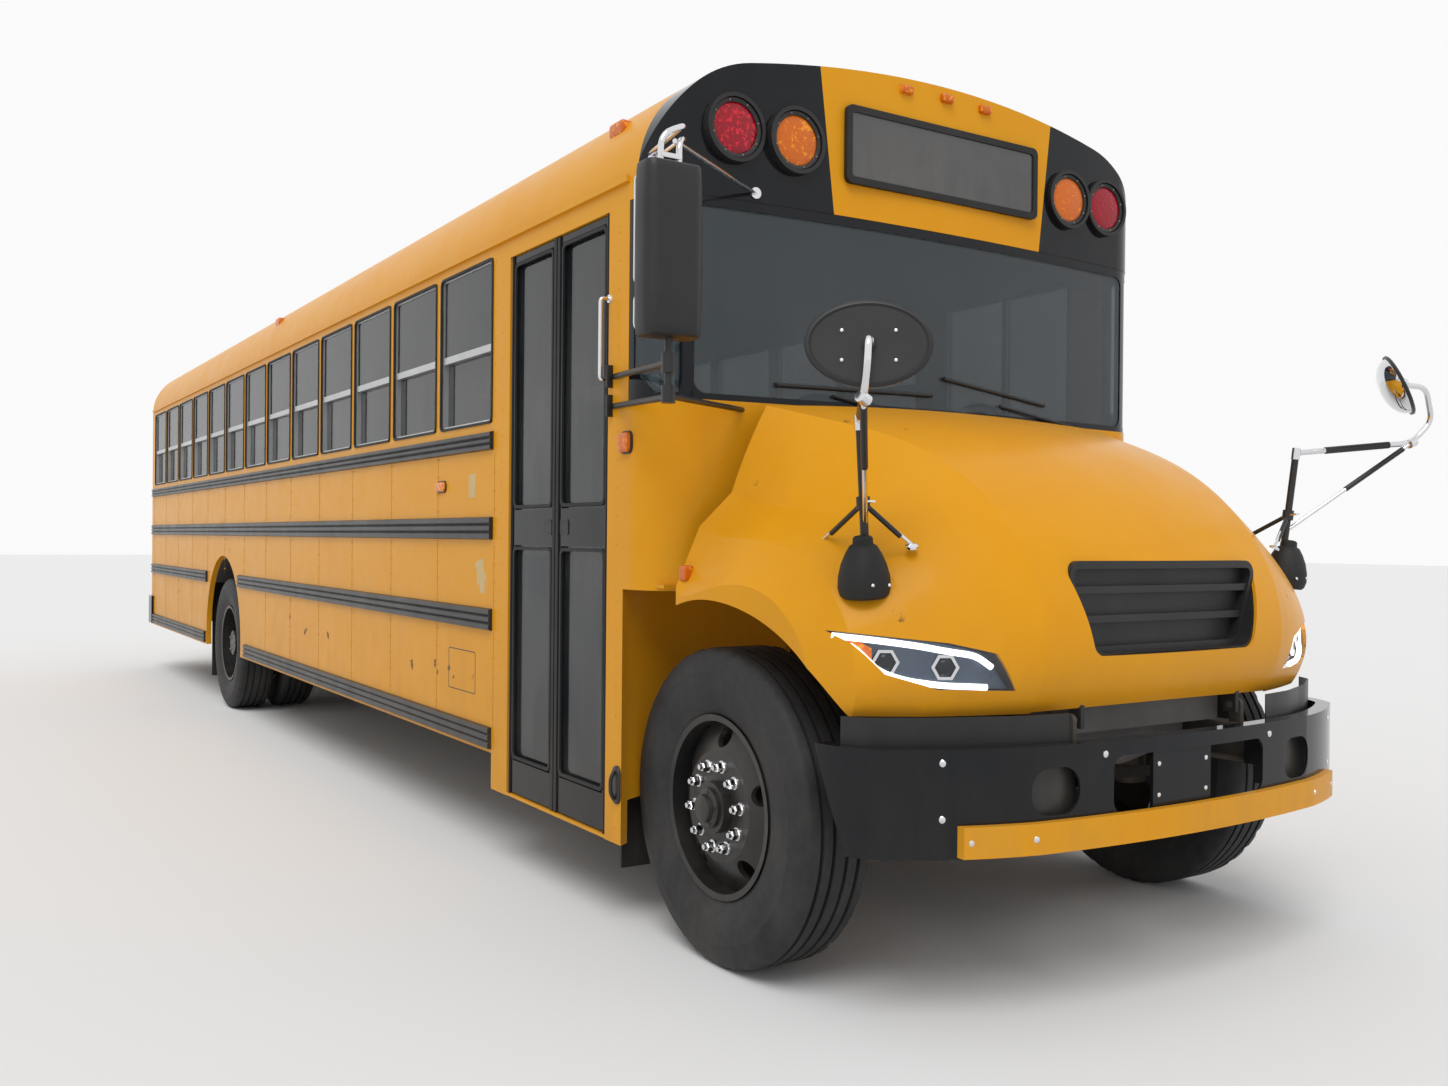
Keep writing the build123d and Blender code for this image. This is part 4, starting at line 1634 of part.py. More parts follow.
# Stop arm on the left side: bracket with a pin, and a blank eight-sided plate
STOP_HINGE_X = 3930.0
STOP_HINGE_Y = BODY_HALF + 36.0
STOP_CENTRE_Z = 1610.0
STOP_ACROSS = 450.0
STOP_PLATE = 6.0
STOP_PIN_RADIUS = 7.0
STOP_LUG_RADIUS = 15.0
STOP_BARREL_HALF = 40.0
STOP_LUG_HEIGHT = 34.0
with BuildPart() as stop_arm_bracket:
    with Locations((STOP_HINGE_X, BODY_HALF + 6.0, STOP_CENTRE_Z)):
        Box(90.0, 12.0, 240.0)
    for side in SIDES:
        lug_z = STOP_CENTRE_Z + side * (STOP_BARREL_HALF + 1.0 + STOP_LUG_HEIGHT / 2.0)
        with Locations((STOP_HINGE_X, (STOP_HINGE_Y + BODY_HALF) / 2.0 + 6.0, lug_z)):
            Box(2.0 * STOP_LUG_RADIUS, STOP_HINGE_Y - BODY_HALF, STOP_LUG_HEIGHT)
    with BuildSketch(Plane.XY.offset(STOP_CENTRE_Z - STOP_BARREL_HALF - 20.0)):
        with Locations((STOP_HINGE_X, STOP_HINGE_Y)):
            Circle(STOP_PIN_RADIUS)
    extrude(amount=2.0 * STOP_BARREL_HALF + 40.0)
write(stop_arm_bracket, "stop_arm_bracket")
with BuildPart() as stop_arm:
    with BuildSketch(Plane.XZ.offset(-STOP_HINGE_Y)):
        with Locations((STOP_HINGE_X - 40.0 - STOP_ACROSS / 2.0, STOP_CENTRE_Z)):
            RegularPolygon(STOP_ACROSS / 2.0, 8, major_radius=False)
        with Locations((STOP_HINGE_X - 40.0, STOP_CENTRE_Z)):
            Rectangle(80.0, 1.6 * STOP_BARREL_HALF)
    extrude(amount=STOP_PLATE / 2.0, both=True)
    with BuildSketch(Plane.XY.offset(STOP_CENTRE_Z - STOP_BARREL_HALF)):
        with Locations((STOP_HINGE_X, STOP_HINGE_Y)):
            Circle(STOP_LUG_RADIUS)
    extrude(amount=2.0 * STOP_BARREL_HALF)
    with BuildSketch(Plane.XY.offset(STOP_CENTRE_Z - STOP_BARREL_HALF)):
        with Locations((STOP_HINGE_X, STOP_HINGE_Y)):
            Circle(STOP_PIN_RADIUS + RUNNING_GAP)
    extrude(amount=2.0 * STOP_BARREL_HALF, mode=Mode.SUBTRACT)
write(stop_arm, "stop_arm")

# Steering knuckles with spindles and arms, and the tie rod between the arms
EAR_HEIGHT = 46.0
EAR_TOP_Z = TYRE_RADIUS + EYE_HALF + EYE_CLEARANCE
ARM_REACH_X = 190.0
ARM_HEIGHT = 26.0
ARM_LOW_Z = TYRE_RADIUS - EYE_HALF - EYE_CLEARANCE - EAR_HEIGHT
TIE_PIN_RADIUS = 10.0
TIE_TUBE = 16.0
SPINDLE_END_Y = FRONT_WHEEL_Y + 80.0
BACK_PLATE_Y = KINGPIN_Y + EYE_RADIUS + EYE_CLEARANCE + 1.0
BACK_PLATE = 12.0


def knuckle(side):
    """Steering knuckle for one side: two ears on the kingpin, back plate, spindle and arm."""
    ear_reach = BACK_PLATE_Y + BACK_PLATE - KINGPIN_Y
    with BuildPart() as piece:
        for ear_z in (EAR_TOP_Z, ARM_LOW_Z):
            with BuildSketch(Plane.XY.offset(ear_z)):
                with Locations((FRONT_AXLE_X, side * KINGPIN_Y)):
                    Circle(EYE_RADIUS)
                with Locations((FRONT_AXLE_X, side * (KINGPIN_Y + ear_reach / 2.0))):
                    Rectangle(2.0 * EYE_RADIUS, ear_reach)
                with Locations((FRONT_AXLE_X, side * KINGPIN_Y)):
                    Circle(KINGPIN_RADIUS + RUNNING_GAP, mode=Mode.SUBTRACT)
            extrude(amount=EAR_HEIGHT)
        with Locations((FRONT_AXLE_X, side * (BACK_PLATE_Y + BACK_PLATE / 2.0), TYRE_RADIUS)):
            Box(2.0 * EYE_RADIUS, BACK_PLATE, EAR_TOP_Z + EAR_HEIGHT - ARM_LOW_Z)
        with BuildSketch(Plane.XZ.offset(-side * BACK_PLATE_Y)):
            with Locations((FRONT_AXLE_X, TYRE_RADIUS)):
                Circle(SPINDLE_RADIUS)
        extrude(amount=-side * (SPINDLE_END_Y - BACK_PLATE_Y))
        with BuildSketch(Plane.XY.offset(ARM_LOW_Z)):
            with BuildLine():
                Polyline(
                    (FRONT_AXLE_X - 30.0, side * (KINGPIN_Y + 30.0)),
                    (FRONT_AXLE_X - ARM_REACH_X - 22.0, side * (KINGPIN_Y + 20.0)),
                    (FRONT_AXLE_X - ARM_REACH_X - 22.0, side * (KINGPIN_Y - 20.0)),
                    (FRONT_AXLE_X - 30.0, side * (KINGPIN_Y - 30.0)),
                    close=True,
                )
            make_face()
        extrude(amount=ARM_HEIGHT)
        with BuildSketch(Plane.XY.offset(ARM_LOW_Z - 34.0)):
            with Locations((FRONT_AXLE_X - ARM_REACH_X, side * KINGPIN_Y)):
                Circle(TIE_PIN_RADIUS)
        extrude(amount=40.0)
    return piece


for side_name, side in (("left", 1.0), ("right", -1.0)):
    write(knuckle(side), f"knuckle_{side_name}")

with BuildPart() as tie_rod:
    with BuildSketch(Plane.XY.offset(ARM_LOW_Z - 34.0)):
        for side in SIDES:
            with Locations((FRONT_AXLE_X - ARM_REACH_X, side * KINGPIN_Y)):
                Circle(24.0)
        with Locations((FRONT_AXLE_X - ARM_REACH_X, 0.0)):
            Rectangle(2.0 * TIE_TUBE, 2.0 * KINGPIN_Y)
        for side in SIDES:
            with Locations((FRONT_AXLE_X - ARM_REACH_X, side * KINGPIN_Y)):
                Circle(TIE_PIN_RADIUS + RUNNING_GAP, mode=Mode.SUBTRACT)
    extrude(amount=32.0)
write(tie_rod, "tie_rod")

# Tyres and wheels, drawn as half sections and turned about the axle
TYRE_SECTION = (
    ("bead", 103.0, RIM_RADIUS + SEAT_GAP),
    ("widest", TYRE_HALF, 405.0),
    ("shoulder", TREAD_HALF, TYRE_RADIUS),
)
BOLT_FACE_RADIUS = 172.0
DISC_SHEET = 11.0
HUB_RADIUS = 84.0
HAND_HOLES = 5
HAND_HOLE_RADIUS = 34.0
FRONT_FACE_OUT = 104.0
FRONT_DISC_ROOT = 52.0
DUAL_FACE_OUT = -DUAL_SPACING / 2.0


def wheel_plane_at(axle_x, wheel_y, side):
    """Plane through a wheel's axis with local x pointing outwards and local y up."""
    return Plane(origin=(axle_x, side * wheel_y, TYRE_RADIUS), x_dir=(0, side, 0), z_dir=(side, 0, 0))


def wheel_axis_at(axle_x, wheel_y, side):
    return Axis((axle_x, side * wheel_y, TYRE_RADIUS), (0, 1, 0))


def tyre(axle_x, wheel_y, side):
    """Tyre as one turned ring."""
    right_half = [(half, radius) for name, half, radius in TYRE_SECTION]
    left_half = [(-half, radius) for half, radius in reversed(right_half)]
    with BuildPart() as ring:
        with BuildSketch(wheel_plane_at(axle_x, wheel_y, side)):
            with BuildLine():
                Polyline(*right_half, *left_half, close=True)
            make_face()
        revolve(axis=wheel_axis_at(axle_x, wheel_y, side))
    return ring.part


def disc_wheel(axle_x, wheel_y, side, face_out, disc_root, hand_angle):
    """Rim and dished disc with hand holes; the face lies at face_out from the wheel's middle."""
    barrel = [
        (-RIM_HALF, RIM_FLANGE_RADIUS),
        (-RIM_HALF + 9.0, RIM_RADIUS),
        (RIM_HALF - 9.0, RIM_RADIUS),
        (RIM_HALF, RIM_FLANGE_RADIUS),
        (RIM_HALF - 2.0, RIM_RADIUS - RIM_SHEET),
        (-RIM_HALF + 2.0, RIM_RADIUS - RIM_SHEET),
    ]
    lean = DISC_SHEET if face_out > disc_root else -DISC_SHEET
    disc_rim = RIM_RADIUS - RIM_SHEET + 1.0
    disc_bore = HUB_RADIUS - 4.0
    disc = [
        (disc_root, disc_rim),
        (face_out, BOLT_FACE_RADIUS + 8.0),
        (face_out, disc_bore),
        (face_out - lean, disc_bore),
        (face_out - lean, BOLT_FACE_RADIUS - 2.0),
        (disc_root - 2.4 * lean, disc_rim),
    ]
    with BuildPart() as wheel:
        with BuildSketch(wheel_plane_at(axle_x, wheel_y, side)):
            with BuildLine():
                Polyline(*barrel, close=True)
            make_face()
            with BuildLine():
                Polyline(*disc, close=True)
            make_face()
        revolve(axis=wheel_axis_at(axle_x, wheel_y, side))
        hole_plane = Plane(origin=(axle_x, 0.0, TYRE_RADIUS), x_dir=(1, 0, 0), z_dir=(0, side, 0))
        with BuildSketch(hole_plane.offset(wheel_y - RIM_HALF - 60.0)):
            with PolarLocations(225.0, HAND_HOLES, start_angle=hand_angle):
                Circle(HAND_HOLE_RADIUS)
        extrude(amount=2.0 * RIM_HALF + 120.0, mode=Mode.SUBTRACT)
    return wheel.part


def hub(axle_x, side, reach, spindle_radius, radius):
    """Turned hub with a blind bore for its spindle; reach holds its start, bore end and end."""
    start_y, bore_end_y, end_y = reach
    with BuildPart() as boss:
        with BuildSketch(Plane.XZ.offset(-side * start_y)):
            with Locations((axle_x, TYRE_RADIUS)):
                Circle(radius)
        extrude(amount=-side * (end_y - start_y))
        with BuildSketch(Plane.XZ.offset(-side * start_y)):
            with Locations((axle_x, TYRE_RADIUS)):
                Circle(spindle_radius + RUNNING_GAP)
        extrude(amount=-side * (bore_end_y - start_y), mode=Mode.SUBTRACT)
    return boss.part


BORE_END_GAP = 2.0
REAR_HUB_RADIUS = 96.0
REAR_INNER_WHEEL_Y = REAR_OUTER_WHEEL_Y - DUAL_SPACING
FRONT_HUB_Y = (
    BACK_PLATE_Y + BACK_PLATE + 3.0,
    SPINDLE_END_Y + BORE_END_GAP,
    FRONT_WHEEL_Y + FRONT_FACE_OUT + 34.0,
)
REAR_HUB_Y = (REAR_INNER_WHEEL_Y - 60.0, REAR_SPINDLE_END + BORE_END_GAP, REAR_OUTER_WHEEL_Y + 88.0)
for side_name, side in (("left", 1.0), ("right", -1.0)):
    with BuildPart() as front_tyre:
        add(tyre(FRONT_AXLE_X, FRONT_WHEEL_Y, side))
    write(front_tyre, f"tyre_front_{side_name}")
    with BuildPart() as front_wheel:
        add(disc_wheel(FRONT_AXLE_X, FRONT_WHEEL_Y, side, FRONT_FACE_OUT, FRONT_DISC_ROOT, 90.0))
        add(hub(FRONT_AXLE_X, side, FRONT_HUB_Y, SPINDLE_RADIUS, HUB_RADIUS))
    write(front_wheel, f"wheel_front_{side_name}")
    with BuildPart() as rear_tyres:
        add(tyre(REAR_AXLE_X, REAR_OUTER_WHEEL_Y, side))
        add(tyre(REAR_AXLE_X, REAR_INNER_WHEEL_Y, side))
    write(rear_tyres, f"tyres_rear_{side_name}")
    with BuildPart() as rear_wheels:
        add(disc_wheel(REAR_AXLE_X, REAR_OUTER_WHEEL_Y, side, DUAL_FACE_OUT, DUAL_FACE_OUT + 110.0, 90.0))
        add(disc_wheel(REAR_AXLE_X, REAR_INNER_WHEEL_Y, side, -DUAL_FACE_OUT, -DUAL_FACE_OUT - 110.0, 90.0))
        add(hub(REAR_AXLE_X, side, REAR_HUB_Y, REAR_SPINDLE_RADIUS, REAR_HUB_RADIUS))
    write(rear_wheels, f"wheels_rear_{side_name}")
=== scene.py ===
"""Yellow school bus: camera, light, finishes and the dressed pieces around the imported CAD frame.

Metres, X ahead, Y to the left, Z up. A shape is (points, faces); make() joins shapes into one piece.
"""
import json

import bmesh
import bpy
import numpy as np
from mathutils import Matrix, Vector


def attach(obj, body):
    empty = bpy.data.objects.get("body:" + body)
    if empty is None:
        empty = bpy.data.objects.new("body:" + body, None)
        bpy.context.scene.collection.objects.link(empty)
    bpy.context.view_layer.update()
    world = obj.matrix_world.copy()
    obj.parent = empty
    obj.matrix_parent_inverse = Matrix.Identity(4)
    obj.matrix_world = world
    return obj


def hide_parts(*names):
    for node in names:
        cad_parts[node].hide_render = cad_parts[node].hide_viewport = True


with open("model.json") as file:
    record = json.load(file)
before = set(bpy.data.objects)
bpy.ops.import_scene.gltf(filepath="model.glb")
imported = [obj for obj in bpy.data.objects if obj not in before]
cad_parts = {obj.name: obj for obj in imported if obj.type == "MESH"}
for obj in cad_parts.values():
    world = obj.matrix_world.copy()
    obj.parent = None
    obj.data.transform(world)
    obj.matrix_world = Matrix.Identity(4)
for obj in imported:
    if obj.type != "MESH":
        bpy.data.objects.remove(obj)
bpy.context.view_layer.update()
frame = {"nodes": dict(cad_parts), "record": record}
nodes = frame["nodes"]
scene = bpy.context.scene
scene.view_settings.view_transform = "Standard"

# Camera where the photograph was taken
LENS_MM = 31.49
EYE = Vector((8.3996, -3.3129, 1.3852))
CAMERA_AHEAD = Vector((-0.84141856, 0.54037061, -0.00379579))
CAMERA_UP = Vector((-0.00798026, -0.00540209, 0.99995357))
camera_data = bpy.data.cameras.new("camera")
camera_data.lens = LENS_MM
camera_data.sensor_width = 36.0
camera_data.clip_end = 200.0
camera = bpy.data.objects.new("camera", camera_data)
scene.collection.objects.link(camera)
right = CAMERA_AHEAD.cross(CAMERA_UP).normalized()
turn = Matrix((right, CAMERA_UP, -CAMERA_AHEAD)).transposed().to_4x4()
camera.matrix_world = Matrix.Translation(EYE) @ turn
scene.camera = camera


# Shader building blocks
def feed(tree, socket, value):
    """Links a socket to an input, or sets the input to a constant."""
    if isinstance(value, bpy.types.NodeSocket):
        tree.links.new(value, socket)
    else:
        socket.default_value = value


def wire(tree, sockets, **values):
    """Feeds sockets by name, with _ for a space."""
    for name, value in values.items():
        feed(tree, sockets[name.replace("_", " ")], value)


def node(tree, kind, **inputs):
    """Adds a shader node and feeds its inputs by name: its outputs."""
    made = tree.nodes.new(f"ShaderNode{kind}")
    wire(tree, made.inputs, **inputs)
    return made.outputs


def noise(tree, place, scale, detail, roughness=0.5):
    """Noise texture's value."""
    return node(tree, "TexNoise", Vector=place, Scale=scale, Detail=detail, Roughness=roughness)[0]


def colour(red, green, blue):
    return (red, green, blue, 1.0)


def group(name, inputs, outputs):
    """Empty node group with named sockets: (tree, its inputs, its outputs)."""
    tree = bpy.data.node_groups.new(name, "ShaderNodeTree")
    for name, default in inputs.items():
        kind = "Float" if isinstance(default, float) else "Color"
        made = tree.interface.new_socket(name, in_out="INPUT", socket_type=f"NodeSocket{kind}")
        made.default_value = default
    for name, kind in outputs.items():
        tree.interface.new_socket(name, in_out="OUTPUT", socket_type=f"NodeSocket{kind}")
    return tree, tree.nodes.new("NodeGroupInput").outputs, tree.nodes.new("NodeGroupOutput").inputs


def math(tree, operation, first, second=0.0, clamp=False):
    """Math node's result."""
    made = tree.nodes.new("ShaderNodeMath")
    made.operation = operation
    made.use_clamp = clamp
    for socket, value in zip(made.inputs, (first, second)):
        feed(tree, socket, value)
    return made.outputs[0]


def mix(tree, factor, first, second):
    """Colour mix: a Mix node keeps its colour sockets at places 6 and 7."""
    made = tree.nodes.new("ShaderNodeMix")
    made.data_type = "RGBA"
    for place, value in ((0, factor), (6, first), (7, second)):
        feed(tree, made.inputs[place], value)
    return made.outputs[2]


def object_place(tree):
    return node(tree, "TexCoord")["Object"]


WHITE = colour(1, 1, 1)
BLACK = colour(0, 0, 0)


def fading_group():
    """Sun fading: broad and fine drifts between two colours."""
    tree, ins, outs = group("fading", {"Fresh": WHITE, "Faded": WHITE, "Scale": 1.0}, {"Color": "Color"})
    place = object_place(tree)
    broad = noise(tree, place, ins["Scale"], 3.0, 0.55)
    fine = noise(tree, place, math(tree, "MULTIPLY", ins["Scale"], 9.0), 4.0)
    broad_part = math(tree, "MULTIPLY", broad, 0.7)
    amount = math(tree, "ADD", broad_part, math(tree, "MULTIPLY", fine, 0.3))
    share = node(tree, "MapRange", Value=amount, From_Min=0.35, From_Max=0.65)[0]
    wire(tree, outs, Color=mix(tree, share, ins["Fresh"], ins["Faded"]))
    return tree


def grime_group():
    """Road grime: thick low down, streaked, thin above."""
    inputs = {"Clean": WHITE, "Dirt": BLACK, "Low": 0.3, "High": 1.2, "Amount": 0.5}
    tree, ins, outs = group("grime", inputs, {"Color": "Color", "Mask": "Float"})
    place = object_place(tree)
    height = node(tree, "SeparateXYZ", Vector=place)["Z"]
    reach = node(tree, "MapRange", Value=height, From_Min=ins["High"], From_Max=ins["Low"])[0]
    stretched = node(tree, "Mapping", Vector=place, Scale=(1.0, 1.0, 0.18))[0]
    both = math(tree, "MULTIPLY", noise(tree, stretched, 14.0, 6.0, 0.65), noise(tree, place, 2.3, 4.0))
    patch = node(tree, "MapRange", Value=both, From_Min=0.14, From_Max=0.42)[0]
    mask = math(tree, "MULTIPLY", math(tree, "MULTIPLY", reach, patch), ins["Amount"], True)
    wire(tree, outs, Color=mix(tree, mask, ins["Clean"], ins["Dirt"]), Mask=mask)
    return tree


def chips_and_facet_shade_group():
    """Chips and rust spots: small rounded patches gathered in a few areas. On the lenses the same patches are
    painted facet shade, darker cells over the lens colour.
    """
    inputs = {"Paint": WHITE, "Bare": BLACK, "Scale": 6.0, "Amount": 0.1}
    tree, ins, outs = group("chips_and_facet_shade", inputs, {"Color": "Color", "Mask": "Float"})
    place = object_place(tree)
    area = noise(tree, place, 0.9, 2.0)
    cell = noise(tree, place, ins["Scale"], 5.0, 0.62)
    edge = math(tree, "SUBTRACT", 0.8, math(tree, "MULTIPLY", ins["Amount"], area))
    mask = math(tree, "MULTIPLY", math(tree, "SUBTRACT", cell, edge), 24.0, True)
    wire(tree, outs, Color=mix(tree, mask, ins["Paint"], ins["Bare"]), Mask=mask)
    return tree


def grain_group():
    """Surface grain as a normal: noise height at a given scale and depth."""
    inputs = {"Scale": 100.0, "Strength": 0.1, "Distance": 0.001}
    tree, ins, outs = group("grain", inputs, {"Normal": "Vector"})
    height = noise(tree, object_place(tree), ins["Scale"], 3.0)
    bump = node(tree, "Bump", Height=height, Strength=ins["Strength"], Distance=ins["Distance"])
    wire(tree, outs, Normal=bump[0])
    return tree


FADING = fading_group()
GRIME = grime_group()
CHIPS_AND_FACET_SHADE = chips_and_facet_shade_group()
GRAIN = grain_group()


def use(tree, shared, **inputs):
    """Places a shared group in a material: its outputs."""
    made = tree.nodes.new("ShaderNodeGroup")
    made.node_tree = shared
    wire(tree, made.inputs, **inputs)
    return made.outputs


def new_material(name):
    """Empty material: (material, tree, its Principled shader's inputs)."""
    made = bpy.data.materials.new(name)
    made.use_nodes = True
    return made, made.node_tree, made.node_tree.nodes["Principled BSDF"].inputs


def finish(
    name, fresh, faded, rough, metal=0.0, coat=0.0, specular=0.5, drift=1.2,
    chips_and_facet_shade=0.0, chip_and_facet_scale=7.0, bare_and_facet_shade=(0.16, 0.06, 0.025),
    grime=0.35, dirt=(0.2, 0.16, 0.11), low=0.35, high=1.4,
    grain=260.0, bump=0.12, depth=0.0006,
):
    """Opaque finish: fading, chips and grime over a base, with grain and changing roughness. On the lenses the
    chip patches are painted facet shade.
    """
    made, tree, shader = new_material(name)
    worn = use(tree, FADING, Fresh=colour(*fresh), Faded=colour(*faded), Scale=drift)["Color"]
    if chips_and_facet_shade > 0.0:
        worn = use(tree, CHIPS_AND_FACET_SHADE, Paint=worn, Bare=colour(*bare_and_facet_shade), Scale=chip_and_facet_scale, Amount=chips_and_facet_shade)["Color"]
    dirty = use(tree, GRIME, Clean=worn, Dirt=colour(*dirt), Low=low, High=high, Amount=grime)
    swing = math(tree, "SUBTRACT", noise(tree, object_place(tree), drift * 6.0, 5.0), 0.5)
    varied = math(tree, "ADD", math(tree, "MULTIPLY", swing, 0.22), rough)
    dull = math(tree, "ADD", varied, math(tree, "MULTIPLY", dirty["Mask"], 0.35), True)
    normal = use(tree, GRAIN, Scale=grain, Strength=bump, Distance=depth)["Normal"]
    wire(tree, shader, Base_Color=dirty["Color"], Roughness=dull, Metallic=metal, Coat_Weight=coat,
         Coat_Roughness=0.08, Specular_IOR_Level=specular, Normal=normal)
    return made


def glass(name, tint, rough, dust, seen):
    """Tinted glass with dust that thickens towards the sill."""
    made, tree, shader = new_material(name)
    film = use(tree, GRIME, Clean=colour(*tint), Dirt=colour(0.45, 0.42, 0.36), Low=1.75, High=2.7, Amount=dust)
    smears = math(tree, "MULTIPLY", noise(tree, object_place(tree), 3.0, 4.0), 0.05)
    veil = math(tree, "MULTIPLY", film["Mask"], 0.35)
    wire(tree, shader, Base_Color=film["Color"], Roughness=math(tree, "ADD", smears, rough, True),
         Alpha=math(tree, "ADD", veil, seen, True), Specular_IOR_Level=0.75)
    return made


YELLOW = finish(
    "bus yellow gloss", (0.7, 0.3, 0.008), (0.72, 0.325, 0.014), 0.33, coat=0.05, chips_and_facet_shade=0.17, grime=0.22,
    bump=0.05, grain=90.0, depth=0.0008, specular=0.1,
)
GLOSS = finish(
    "black gloss paint", (0.006, 0.007, 0.009), (0.011, 0.012, 0.014), 0.09, coat=0.1, grime=0.05,
    bump=0.02, specular=0.18,
)
SATIN = finish(
    "black satin paint", (0.01, 0.01, 0.011), (0.022, 0.022, 0.022), 0.34, grime=0.2, chips_and_facet_shade=0.12,
    bare_and_facet_shade=(0.12, 0.06, 0.03), specular=0.4,
)
CHASSIS = finish(
    "chassis black", (0.022, 0.021, 0.02), (0.045, 0.04, 0.035), 0.55, grime=0.7, chips_and_facet_shade=0.25, grain=140.0,
    bump=0.3, high=1.6, dirt=(0.13, 0.1, 0.07),
)
PLASTIC = finish(
    "moulded black plastic", (0.012, 0.012, 0.013), (0.022, 0.022, 0.023), 0.42, grain=600.0, bump=0.25,
    grime=0.1, specular=0.35,
)
RUBBER = finish(
    "black rubber", (0.01, 0.01, 0.01), (0.02, 0.02, 0.02), 0.6, grain=300.0, bump=0.3, grime=0.15,
    specular=0.3,
)
TYRE = finish(
    "tyre rubber", (0.014, 0.015, 0.017), (0.03, 0.03, 0.031), 0.62, grain=420.0, bump=0.35, grime=0.35,
    low=0.0, high=1.1, dirt=(0.13, 0.11, 0.09), drift=5.0, specular=0.3,
)
ALUMINIUM = finish(
    "sash aluminium", (0.5, 0.51, 0.52), (0.62, 0.63, 0.64), 0.36, metal=0.85, grain=500.0, bump=0.15,
    grime=0.3, high=2.6, low=1.8,
)
STEEL = finish("dull steel", (0.3, 0.28, 0.26), (0.2, 0.15, 0.11), 0.5, metal=0.8, chips_and_facet_shade=0.3, grain=200.0)
CHROME = finish("chrome", (0.78, 0.78, 0.8), (0.7, 0.7, 0.72), 0.1, metal=1.0, grime=0.15)
ENGINE = finish("engine casting", (0.1, 0.1, 0.105), (0.17, 0.16, 0.15), 0.6, metal=0.4, grain=80.0, bump=0.5)
FLOOR_MAT = finish("ribbed floor cover", (0.03, 0.03, 0.032), (0.06, 0.058, 0.055), 0.6, grain=150.0, bump=0.4)
VINYL = finish(
    "seat vinyl", (0.03, 0.045, 0.075), (0.048, 0.062, 0.095), 0.45, grain=700.0, bump=0.45, grime=0.15,
    high=1.6, low=1.0,
)
CLOTH = finish("driver seat cloth", (0.05, 0.05, 0.055), (0.085, 0.083, 0.085), 0.85, grain=1400.0, bump=0.6)
# Lens settings: facet bumps, plus chip patches used as painted facet shade, which spreads darker cells over the
# lens colour
LENS_FACETS_AND_SHADE = {
    "coat": 0.18, "grime": 0.05, "grain": 70.0, "bump": 0.7, "depth": 0.004, "specular": 0.3, "chips_and_facet_shade": 0.75,
    "chip_and_facet_scale": 55.0,
}
# The bare colours of the red and amber lenses are the darker painted shade of their facets
RED = finish("red lens", (0.62, 0.008, 0.026), (0.72, 0.014, 0.036), 0.16, bare_and_facet_shade=(0.3, 0.0, 0.012), **LENS_FACETS_AND_SHADE)
AMBER = finish(
    "amber lens", (0.82, 0.23, 0.005), (0.9, 0.31, 0.01), 0.16, bare_and_facet_shade=(0.62, 0.13, 0.003), **LENS_FACETS_AND_SHADE
)
SIGN = finish(
    "sign glass", (0.03, 0.031, 0.033), (0.052, 0.053, 0.055), 0.16, coat=0.5, grime=0.4, high=3.0, low=2.5
)
HATCH = finish("hatch plastic", (0.62, 0.61, 0.57), (0.7, 0.69, 0.66), 0.45, grain=200.0, bump=0.2)
PANEL_LAP = finish("panel lap shadow", (0.3, 0.125, 0.006), (0.36, 0.16, 0.01), 0.5, grime=0.3, specular=0.2)
STOP_RED = finish("stop red", (0.42, 0.012, 0.014), (0.5, 0.025, 0.025), 0.32, coat=0.3)
GLASS = glass("side window glass", (0.014, 0.018, 0.022), 0.03, 0.1, 0.7)
SCREEN = glass("windscreen glass", (0.03, 0.052, 0.068), 0.03, 0.08, 0.5)
CLEAR = glass("lamp glass", (0.55, 0.6, 0.66), 0.03, 0.02, 0.05)
MIRROR = finish("mirror glass", (0.72, 0.73, 0.74), (0.68, 0.69, 0.7), 0.05, metal=1.0, grime=0.1)
RUST = finish("rust spots", (0.16, 0.06, 0.022), (0.26, 0.11, 0.04), 0.85, grain=400.0, bump=0.6)
WORN = finish("worn patch", (0.52, 0.36, 0.13), (0.62, 0.46, 0.22), 0.6, grain=300.0, bump=0.3, chips_and_facet_shade=0.3)
LAMP_INSIDE = finish(
    "lamp housing", (0.06, 0.08, 0.115), (0.1, 0.125, 0.165), 0.25, metal=0.5, grime=0.0, bump=0.1
)
LIGHT_GUIDE = finish("light guide", (0.9, 0.91, 0.93), (0.86, 0.88, 0.92), 0.25, grime=0.0, bump=0.02)
guide_tree = LIGHT_GUIDE.node_tree
guide_shader = guide_tree.nodes["Principled BSDF"].inputs
wire(guide_tree, guide_shader, Emission_Color=colour(0.93, 0.97, 1.0), Emission_Strength=1.4)

SLOT_FINISH = {
    "chassis_black": CHASSIS, "engine_grey": ENGINE, "steel_dull": STEEL, "floor_black": FLOOR_MAT,
    "body_yellow": YELLOW, "gloss_black": GLOSS, "glass": GLASS, "sash_aluminium": ALUMINIUM,
    "rail_black": SATIN, "lamp_clear": CLEAR, "trim_black": PLASTIC, "seat_blue": VINYL,
    "seat_grey": CLOTH, "lens_red": RED, "lens_amber": AMBER, "sign_grey": SIGN, "flap_rubber": RUBBER,
    "hatch_white": HATCH, "stop_red": STOP_RED, "tyre": TYRE, "wheel_black": SATIN,
}
node_slots = {entry["node"]: entry["material_slot"] for entry in frame["record"]["subparts"]}
for node_name, cad_object in nodes.items():
    chosen = SCREEN if node_name == "windscreen" else SLOT_FINISH[node_slots[node_name]]
    cad_object.data.materials.clear()
    cad_object.data.materials.append(chosen)

